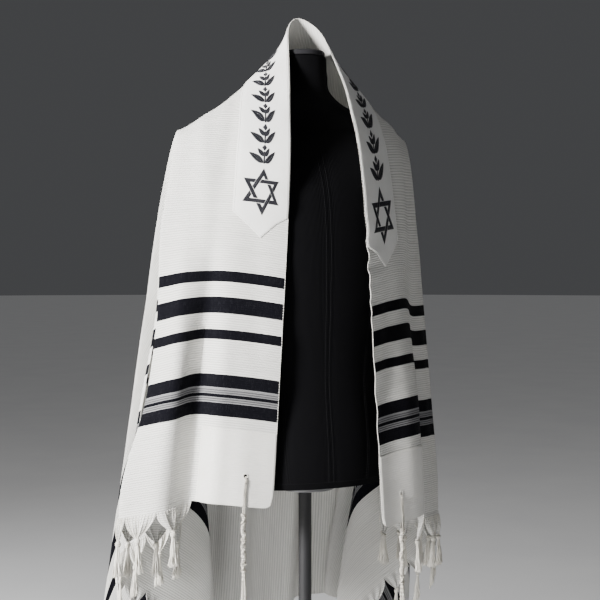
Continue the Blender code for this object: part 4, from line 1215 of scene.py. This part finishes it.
def web_grid(drape, side, middle, pitch, hang, fall, over, out):
    """A tongue of cloth from the hem to the knot, with its places on the flat cloth."""
    hem = drape.at(side, 0.0, middle)
    phase = RANDOM.uniform(0, 6)
    points, places = [], []
    for u in np.linspace(-1, 1, WEB_LINES):
        rim = drape.at(side, 0.0, middle + 0.5 * pitch * u)
        for v in np.linspace(0, 1, WEB_ROWS):
            narrow = 1 - v ** 2.1
            gather = 0.0034 * v * v * (1 - v) * 6 * math.sin(9.0 * u + phase)
            sag = 0.0020 * math.sin(math.pi * v) * (1 - u * u)
            path = fall * FRINGE_WEB * v * (1 - v) + hang * v * v
            points.append(hem + (rim - hem) * narrow + u * v * 0.0024 * over + path + out * (gather + sag))
            places.append((-v * FRINGE_WEB, middle + 0.5 * pitch * u))
    return points, places


def web_yarns(points, out):
    """Yarns that lie along the tongue and run together at its knot."""
    lines = []
    for u in np.linspace(-0.94, 0.94, WEB_YARNS):
        place = (u + 1) / 2 * (WEB_LINES - 1)
        i = min(int(place), WEB_LINES - 2)
        part = place - i
        sides = zip(points[i * WEB_ROWS + 1:(i + 1) * WEB_ROWS], points[(i + 1) * WEB_ROWS + 1:])
        lines.append([a * (1 - part) + b * part + out * 0.0010 for a, b in sides])
    return lines


def knot_wraps(knot, under, over, second):
    """Turns of yarn round the knot."""
    rings = []
    for wrap, radius in enumerate(WRAP_RADII):
        height = 0.0008 + WRAP_PITCH * wrap
        tilt = RANDOM.uniform(-0.35, 0.35)
        ring = []
        for k in range(17):
            turn = FULL_TURN * k / 16
            spot = math.cos(turn) * over + math.sin(turn) * second
            ring.append(knot + under * (height + tilt * radius * math.cos(turn)) + spot * radius * 0.82)
        rings.append(ring)
    return rings


def tassel_strands(foot, under, over, second):
    """Yarn ends that spread a little and turn to hang straight down."""
    lines = []
    for strand in range(TASSEL_STRANDS):
        turn = strand * GOLDEN_ANGLE + RANDOM.uniform(-0.3, 0.3)
        reach = math.sqrt((strand + 0.5) / TASSEL_STRANDS)
        spot = reach * (math.cos(turn) * over + 0.8 * math.sin(turn) * second)
        length = FRINGE_STRAND_LENGTH * RANDOM.uniform(0.86, 1.0)
        curl = RANDOM.uniform(-0.0022, 0.0022, 2)
        line = []
        for s in np.linspace(0, 1, len(STRAND_RADII)):
            spread = 0.0026 + 0.0072 * s ** 1.15
            swing = math.sin(3.4 * s * math.pi + turn)
            line.append(foot + (under * (1 - 0.5 * s) + DOWN * 0.5 * s) * length * s + spot * spread
                        + swing * s * (curl[0] * over + curl[1] * second))
        lines.append(line)
    return lines


def make_fringe(drape, side, cloth_finish, yarn_finish):
    """Tongues of cloth drawn to knots, with yarn tassels below them."""
    start, pitch, count = fringe_places()
    points, faces, places, yarns, sizes = [], [], [], [], []
    for tassel in range(count):
        middle = start + (tassel + 0.5) * pitch
        hem = drape.at(side, 0.0, middle)
        out = drape.outward(side, 0.0, middle)
        over = unit(drape.at(side, 0.0, middle + 0.5 * pitch) - drape.at(side, 0.0, middle - 0.5 * pitch))
        fall = unit(hem - drape.at(side, 0.012, middle))
        hang = (FRINGE_GAP + FRINGE_BEND) * fall + (FRINGE_WEB - FRINGE_BEND) * DOWN
        hang = hang + out * RANDOM.uniform(-0.002, 0.002)
        web, flat = web_grid(drape, side, middle, pitch, hang, fall, over, out)
        faces += moved_faces(grid_faces(WEB_LINES, WEB_ROWS, side > 0), len(points))
        points += web
        places += flat
        knot = hem + hang
        under = unit(DOWN + (RANDOM.uniform(-0.10, 0.10) * over + RANDOM.uniform(0.0, 0.10) * out))
        second = np.cross(under, over)
        foot = knot + under * (FRINGE_KNOT - 0.003)
        for lines, radius in ((web_yarns(web, out), WEB_YARN_RADIUS),
                              (knot_wraps(knot, under, over, second), WRAP_YARN_RADIUS),
                              (tassel_strands(foot, under, over, second), STRAND_RADII)):
            yarns += lines
            sizes += [radius] * len(lines)
    label = "left" if side < 0 else "right"
    webs = link(f"fringe_webs_{label}", surface_mesh("webs", points, faces, places), cloth_finish)
    wall(webs, CLOTH_WALL, 0.0)
    webs = crisp(webs)
    tassels = make_strings(f"fringe_tassels_{label}", yarns, sizes, yarn_finish, sides=4, plies=2,
                           ply_depth=0.0, turns=0.0)
    return webs, tassels


# Corner strings
def eyelet_loops(route, knot, over, out):
    """Two strings that come up behind the cloth, pass the eyelet and run over the hem to the knot."""
    proud = PIECE_BASE + PATCH_WALL + 0.0026
    behind = 0.5 * CLOTH_WALL + 0.0020
    first, normal = route[0]
    loops = []
    for strand, shift in enumerate((-LOOP_SHIFT, LOOP_SHIFT)):
        back = [p - behind * n + over * shift for p, n in route[1:]]
        dip = [first - behind * normal, first + over * shift * 0.4,
               first + proud * normal + over * shift * 0.4]
        front = [p + proud * n + over * shift * min(1.0, 0.4 + k / 5)
                 for k, (p, n) in enumerate(route[1:], 1)]
        line = [knot - out * 0.002 + over * shift, *back[::-1], *dip, *front,
                knot + out * 0.0025 + over * shift]
        sway = RANDOM.uniform(-0.0008, 0.0008)
        line = [p + over * sway * math.sin(k * 1.1 + strand) for k, p in enumerate(line)]
        loops.append(smooth_line(line, 64))
    return loops


def wound_coil(top, over, out, side):
    """One long string wound round the others, with lumps and a slight wander."""
    steps = WOUND_TURNS * 9
    coil = []
    for k in range(steps + 1):
        s = k / steps
        lump = abs(math.sin(s * math.pi * 9.5 + 0.6)) ** 0.7
        radius = 0.0019 + 0.0018 * lump + 0.0004 * math.sin(s * 47)
        turn = FULL_TURN * WOUND_TURNS * s + 0.9 * math.sin(s * 61)
        wander = 0.0011 * math.sin(s * 21 + side) * over + 0.0008 * math.cos(s * 17) * out
        coil.append(top + DOWN * WOUND_LENGTH * s + wander
                    + radius * (math.cos(turn) * over + math.sin(turn) * out))
    return coil


def wound_knots(top, over, out):
    """Slanting loops of string along the wound stretch."""
    loops = []
    for lump in range(WOUND_LUMPS):
        place = top + DOWN * WOUND_LENGTH * ((lump + 0.35) / WOUND_LUMPS)
        turn = 2.4 * lump
        spot = math.cos(turn) * over + math.sin(turn) * out
        flat = np.cross(DOWN, spot)
        loop = []
        for k in range(13):
            a = FULL_TURN * k / 12
            loop.append(place + spot * (0.0022 + 0.0022 * math.cos(a)) + flat * 0.0030 * math.sin(a)
                        + DOWN * 0.0034 * math.sin(a + 0.7))
        loops.append(loop)
    return loops


def hanging_strings(foot, over, out):
    """The free strings, each with its own slow bends."""
    tails = []
    for k in range(STRING_COUNT):
        turn = FULL_TURN * (k + 0.5) / STRING_COUNT
        spot = math.cos(turn) * over + math.sin(turn) * out
        flat = np.cross(DOWN, spot)
        reach = STRING_LENGTH * RANDOM.uniform(0.90, 0.995)
        sway = RANDOM.uniform(0.6, 1.6, 2)
        line = []
        for s in np.linspace(0, 1, len(TAIL_RADII)):
            spread = 0.0018 + 0.0070 * s ** 0.8
            bend = 0.0014 * math.sin(s * math.pi * sway[0] * 2 + turn) * s ** 0.5
            line.append(foot + DOWN * reach * s + spot * (spread + bend)
                        + flat * 0.0012 * math.sin(s * math.pi * 2 * sway[1] + 2 * turn) * s)
        tails.append(line)
    return tails


def make_corner_strings(drape, name, side, at_back, finish):
    """Strings through the eyelet, doubled down to the wound stretch with its knots, then hanging free."""
    route = []
    for k in range(9):
        from_end = (EYELET_INSET - 0.0017) * (1 - k / 8)
        across = corner_place(at_back, from_end if at_back else EYELET_INSET)
        route.append((drape.at(side, from_end, across), drape.outward(side, from_end, across)))
    hem, out = route[-1]
    knot = hem + LOOP_BELOW_HEM * DOWN
    over = unit(np.cross(out, DOWN))
    out = np.cross(DOWN, over)
    top = knot - KNOT_ABOVE * DOWN
    paths, sizes = [], []
    for lines, radius in ((eyelet_loops(route, knot, over, out), LOOP_RADIUS),
                          ([wound_coil(top, over, out, side)], COIL_RADIUS),
                          (wound_knots(top, over, out), LUMP_RADIUS)):
        paths += lines
        sizes += [radius] * len(lines)
    tails = hanging_strings(top + DOWN * (WOUND_LENGTH - 0.003), over, out)
    wound = make_strings(f"corner_strings_{name}", paths, sizes, finish, sides=8, plies=2, ply_depth=0.22,
                         turns=210.0)
    loose = make_strings(f"loose_strings_{name}", tails, [TAIL_RADII] * STRING_COUNT, finish, sides=8,
                         plies=2, ply_depth=0.06, turns=90.0)
    return wound, loose


def smooth_line(points, count):
    """Even points on a soft curve through the given ones."""
    points = np.array(points, float)
    for _ in range(3):
        middle = 0.5 * (points[:-1] + points[1:])
        woven = np.empty((len(points) + len(middle), 3))
        woven[0::2], woven[1::2] = points, middle
        woven[1:-1] = 0.25 * woven[:-2] + 0.5 * woven[1:-1] + 0.25 * woven[2:]
        points = woven
    far = np.concatenate([[0], np.cumsum(np.linalg.norm(np.diff(points, axis=0), axis=1))])
    return [np.array([np.interp(f, far, points[:, axis]) for axis in range(3)])
            for f in np.linspace(0, far[-1], count)]


def edge_paths(drape):
    """The neck edge and the two long edges' selvedge, as thin rolled cords."""
    ends = np.linspace(0.002, CLOTH_LENGTH - 0.002, 420)
    paths = []
    for across in (0.0, CLOTH_WIDTH):
        line = []
        for along in ends:
            side = -1 if along < CLOTH_LENGTH / 2 else 1
            line.append(drape.at(side, min(along, CLOTH_LENGTH - along), across))
        paths.append(line)
    return paths


# The dress form and its stand
TORSO_SECTIONS = (
    ("bottom", 0.857, 0.148, 0.106, -0.011),
    ("hip", 0.900, 0.150, 0.107, -0.010),
    ("waist", 1.060, 0.136, 0.094, -0.006),
    ("ribs", 1.200, 0.152, 0.104, -0.002),
    ("chest", 1.330, 0.168, 0.110, 0.004),
    ("upper chest", 1.420, 0.180, 0.103, 0.014),
    ("arm line", 1.492, 0.206, 0.078, 0.030),
    ("shoulder end", 1.530, 0.200, 0.052, 0.040),
    ("shoulder", 1.553, 0.152, 0.046, 0.038),
    ("neck root", 1.574, 0.086, 0.050, 0.023),
    ("neck base", 1.592, 0.055, 0.047, 0.012),
    ("neck", 1.625, 0.045, 0.042, 0.007),
    ("neck top", 1.662, 0.041, 0.036, 0.002),
)
TORSO_SIDES = 96
SEAM_DEPTH = 0.0009
# The plate under the form, as radius and height, bottom to top
BASE_PLATE = ((0.0135, 0.8420), (0.052, 0.8420), (0.055, 0.8435), (0.055, 0.8482), (0.052, 0.8495),
              (0.0135, 0.8495))
BASE_PLATE_MIDDLE = (0, -0.006)


def smooth_table(positions, values, where):
    k = int(np.clip(np.searchsorted(positions, where, side="right") - 1, 0, len(positions) - 2))
    slopes = np.gradient(values, positions)
    span = positions[k + 1] - positions[k]
    t = (where - positions[k]) / span
    a = (2 * t**3 - 3 * t**2 + 1) * values[k] + (t**3 - 2 * t**2 + t) * span * slopes[k]
    return a + (3 * t**2 - 2 * t**3) * values[k + 1] + (t**3 - t**2) * span * slopes[k + 1]


def torso_point(height, turn, grow=0.0):
    heights = column(TORSO_SECTIONS, 1)
    width, depth, middle = (smooth_table(heights, column(TORSO_SECTIONS, i), height) for i in (2, 3, 4))
    c, s = math.cos(turn), math.sin(turn)
    power = 2 / 2.35
    x = (width + grow) * math.copysign(abs(c) ** power, c)
    y = middle + (depth + grow) * math.copysign(abs(s) ** power, s)
    return np.array([x, y, height])


def seam_turns(height):
    """Where the cover's seams run at a height: front, back, sides and the shaped panels."""
    curve = 0.16 * math.sin((height - 0.84) * 4.2)
    return (-math.pi / 2, math.pi / 2, 0.0, math.pi, -1.10 + curve, -math.pi + 1.10 - curve,
            1.10 - curve, math.pi - 1.10 + curve)


def make_form(finish):
    low = TORSO_SECTIONS[0][1]
    heights = np.concatenate([np.linspace(low, 1.47, 60), np.linspace(1.48, 1.662, 46)])
    points, places = [], []
    rows = [(low, -0.012), (low + 0.0002, -0.006), (low + 0.0015, -0.0022),
            *((height, 0.0) for height in heights[1:-1]), (1.6605, -0.0008), (1.662, -0.004)]
    for height, grow in rows:
        for k in range(TORSO_SIDES):
            turn = FULL_TURN * k / TORSO_SIDES
            near = min(abs((turn - s + math.pi) % FULL_TURN - math.pi) for s in seam_turns(height))
            dent = SEAM_DEPTH * math.exp(-((near * 0.14) / 0.0032) ** 2) if height < 1.60 else 0.0
            points.append(torso_point(height, turn, grow - 0.0006 - dent))
            places.append((k / TORSO_SIDES * 0.82, height))
    faces = ring_faces(len(rows), TORSO_SIDES)
    form = link("dress_form_cover", surface_mesh("form", points, faces, places, "wrap"), finish)
    form.data.set_sharp_from_angle(angle=math.radians(40))
    return form


def form_seam_paths():
    paths = []
    for which in range(8):
        for shift in (-0.016, 0.016):
            paths.append([torso_point(height, seam_turns(height)[which] + shift)
                          for height in np.linspace(0.872, 1.47, 90)])
    paths.append([torso_point(0.870, a, 0.0001) for a in np.linspace(0, FULL_TURN, 161)])
    return paths


def turned_piece(name, profile, middle, finish, sides=64):
    """A round piece from its profile of radius and height, bottom to top on the outer side."""
    points = []
    for radius, height in profile:
        for k in range(sides):
            turn = FULL_TURN * k / sides
            points.append((middle[0] + radius * math.cos(turn), middle[1] + radius * math.sin(turn), height))
    mesh = bpy.data.meshes.new(name)
    mesh.from_pydata(points, [], ring_faces(len(profile), sides))
    piece = link(name, mesh, finish)
    piece.data.set_sharp_from_angle(angle=math.radians(35))
    return piece


def lights_and_camera():
    for name, place, aim, size, power, colour in (
        ("key", (-3.15, -0.9, 2.1), (0, 0, 1.15), 0.8, 460, (1.0, 0.985, 0.965)),
        ("back", (-1.6, 2.6, 2.3), (0, 0, 1.1), 1.2, 60, (0.96, 0.98, 1.0)),
    ):
        lamp = bpy.data.lights.new(name, "AREA")
        lamp.shape = "DISK"
        lamp.size = size
        lamp.energy = power
        lamp.color = colour
        thing = in_scene(name, lamp)
        thing.location = place
        thing.rotation_euler = (Vector(aim) - Vector(place)).to_track_quat("-Z", "Y").to_euler()
    lamp = bpy.data.lights.new("overhead", "SUN")
    lamp.angle = math.radians(30)
    lamp.energy = 0.45
    in_scene("overhead", lamp).rotation_euler = (0, math.radians(-14), 0)
    world = bpy.data.worlds.new("studio")
    world.use_nodes = True
    sky = world.node_tree.nodes["Background"].inputs
    sky["Color"].default_value = (0.44, 0.45, 0.47, 1)
    sky["Strength"].default_value = 0.14
    bpy.context.scene.world = world
    azimuth = math.radians(CAMERA_AZIMUTH)
    camera = bpy.data.cameras.new("camera")
    camera.sensor_width = SENSOR_WIDTH
    camera.lens = SENSOR_WIDTH * FOCAL_LENGTH_PIXELS / PICTURE_SIZE
    camera.shift_x = (PICTURE_SIZE / 2 - PICTURE_MIDDLE[0]) / PICTURE_SIZE
    camera.shift_y = (PICTURE_MIDDLE[1] - PICTURE_SIZE / 2) / PICTURE_SIZE
    holder = in_scene("camera", camera)
    holder.location = (CAMERA_DISTANCE * math.sin(azimuth), -CAMERA_DISTANCE * math.cos(azimuth),
                       CAMERA_HEIGHT)
    holder.rotation_euler = (math.radians(90), 0, azimuth)
    bpy.context.scene.camera = holder


def make_floor(finish):
    ring = [(45 * math.cos(a), 45 * math.sin(a), 0) for a in np.linspace(0, FULL_TURN, 97)[:-1]]
    mesh = bpy.data.meshes.new("floor")
    mesh.from_pydata(ring, [], [tuple(range(len(ring)))])
    link("floor", mesh, finish)


def ride(piece, slot_name, *nodes):
    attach(piece, "root")
    if nodes:
        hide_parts(*nodes)
    return piece


def build():
    drape = Drape(Weave())
    wool, yarn = striped_wool(), spun_yarn("wool_yarn", (0.78, 0.76, 0.70, 1), (0.70, 0.67, 0.59, 1))
    string = spun_yarn("wound_string", (0.80, 0.77, 0.70, 1), (0.68, 0.63, 0.53, 1))
    thread = spun_yarn("sewing_thread", (0.82, 0.81, 0.77, 1), (0.74, 0.72, 0.66, 1))
    edge_wool = spun_yarn("selvedge_wool", (0.80, 0.79, 0.75, 1), (0.72, 0.70, 0.64, 1))
    band_cloth = satin_weave("band_satin", (0.83, 0.83, 0.81, 1))
    patch_cloth = satin_weave("patch_satin", (0.81, 0.80, 0.765, 1), rib=0.9)
    silk, jersey = stitched_silk(), black_jersey()
    paint, steel = black_paint(), dark_steel()

    punch = make_punch(drape)
    cloth = ride(punched(make_cloth(drape, wool), punch), "cloth", "shawl_cloth")
    band = ride(make_neckband(drape, band_cloth), "neckband", "neckband")
    band_middle = 0.5 * BAND_WIDTH + 0.0005
    stars = []
    for end in (-1, 1):
        stars += star_bars(np.array([end * STAR_PLACE, band_middle]), STAR_REACH, STAR_BAR_HALF)
    ornament = vine(VINE_START, VINE_END, band_middle) + vine(-VINE_START, -VINE_END, band_middle)
    ornament.append(lozenge((0.0, band_middle), *MIDDLE_LOZENGE_SIZE))
    star_work = ride(make_embroidery(drape, "star_embroidery", stars, silk), "neckband")
    vine_work = ride(make_embroidery(drape, "vine_embroidery", ornament, silk), "neckband")

    patches, strings = [], []
    for name, side, at_back in CORNERS:
        patch = punched(make_patch(drape, name, side, at_back, patch_cloth), punch)
        patches.append(ride(patch, "patch", f"corner_patch_{name}"))
        wound, loose = make_corner_strings(drape, name, side, at_back, string)
        strings += [ride(wound, "string", f"corner_tassel_{name}"), ride(loose, "string")]
    bpy.data.objects.remove(punch, do_unlink=True)

    stitches = ride(make_stitches("seam_stitches", seam_paths(drape), thread), "neckband")
    rims = eyelet_rings(drape)
    rims = ride(make_strings("eyelet_thread", rims, [0.00042] * len(rims), thread, sides=5, plies=2,
                             ply_depth=0.0, turns=0.0), "patch")
    edges = edge_paths(drape)
    selvedge = ride(make_strings("rolled_selvedge", edges, [0.0011, 0.0011], edge_wool, sides=6, plies=2,
                                 ply_depth=0.1, turns=90.0), "cloth")

    fringes = []
    for side, label in ((-1, "left"), (1, "right")):
        webs, tassels = make_fringe(drape, side, wool, yarn)
        fringes += [ride(webs, "fringe"), ride(tassels, "fringe", f"fringe_{label}")]

    form = ride(make_form(jersey), "form", "form_torso")
    ride(make_stitches("form_seam_stitches", form_seam_paths(), jersey_thread(), spacing=0.0048,
                       length=0.0034, radius=0.00040), "form")
    for node, finish in (("neck_cap", jersey_cap()), ("stand_pole", paint), ("stand_base", paint)):
        held = bpy.data.objects[node]
        if not held.material_slots:
            held.data.materials.append(finish)
        for place in held.material_slots:
            place.material = finish
    ride(turned_piece("form_base_plate", BASE_PLATE, BASE_PLATE_MIDDLE, steel), "stand")

    make_floor(pale_floor())
    lights_and_camera()


build()
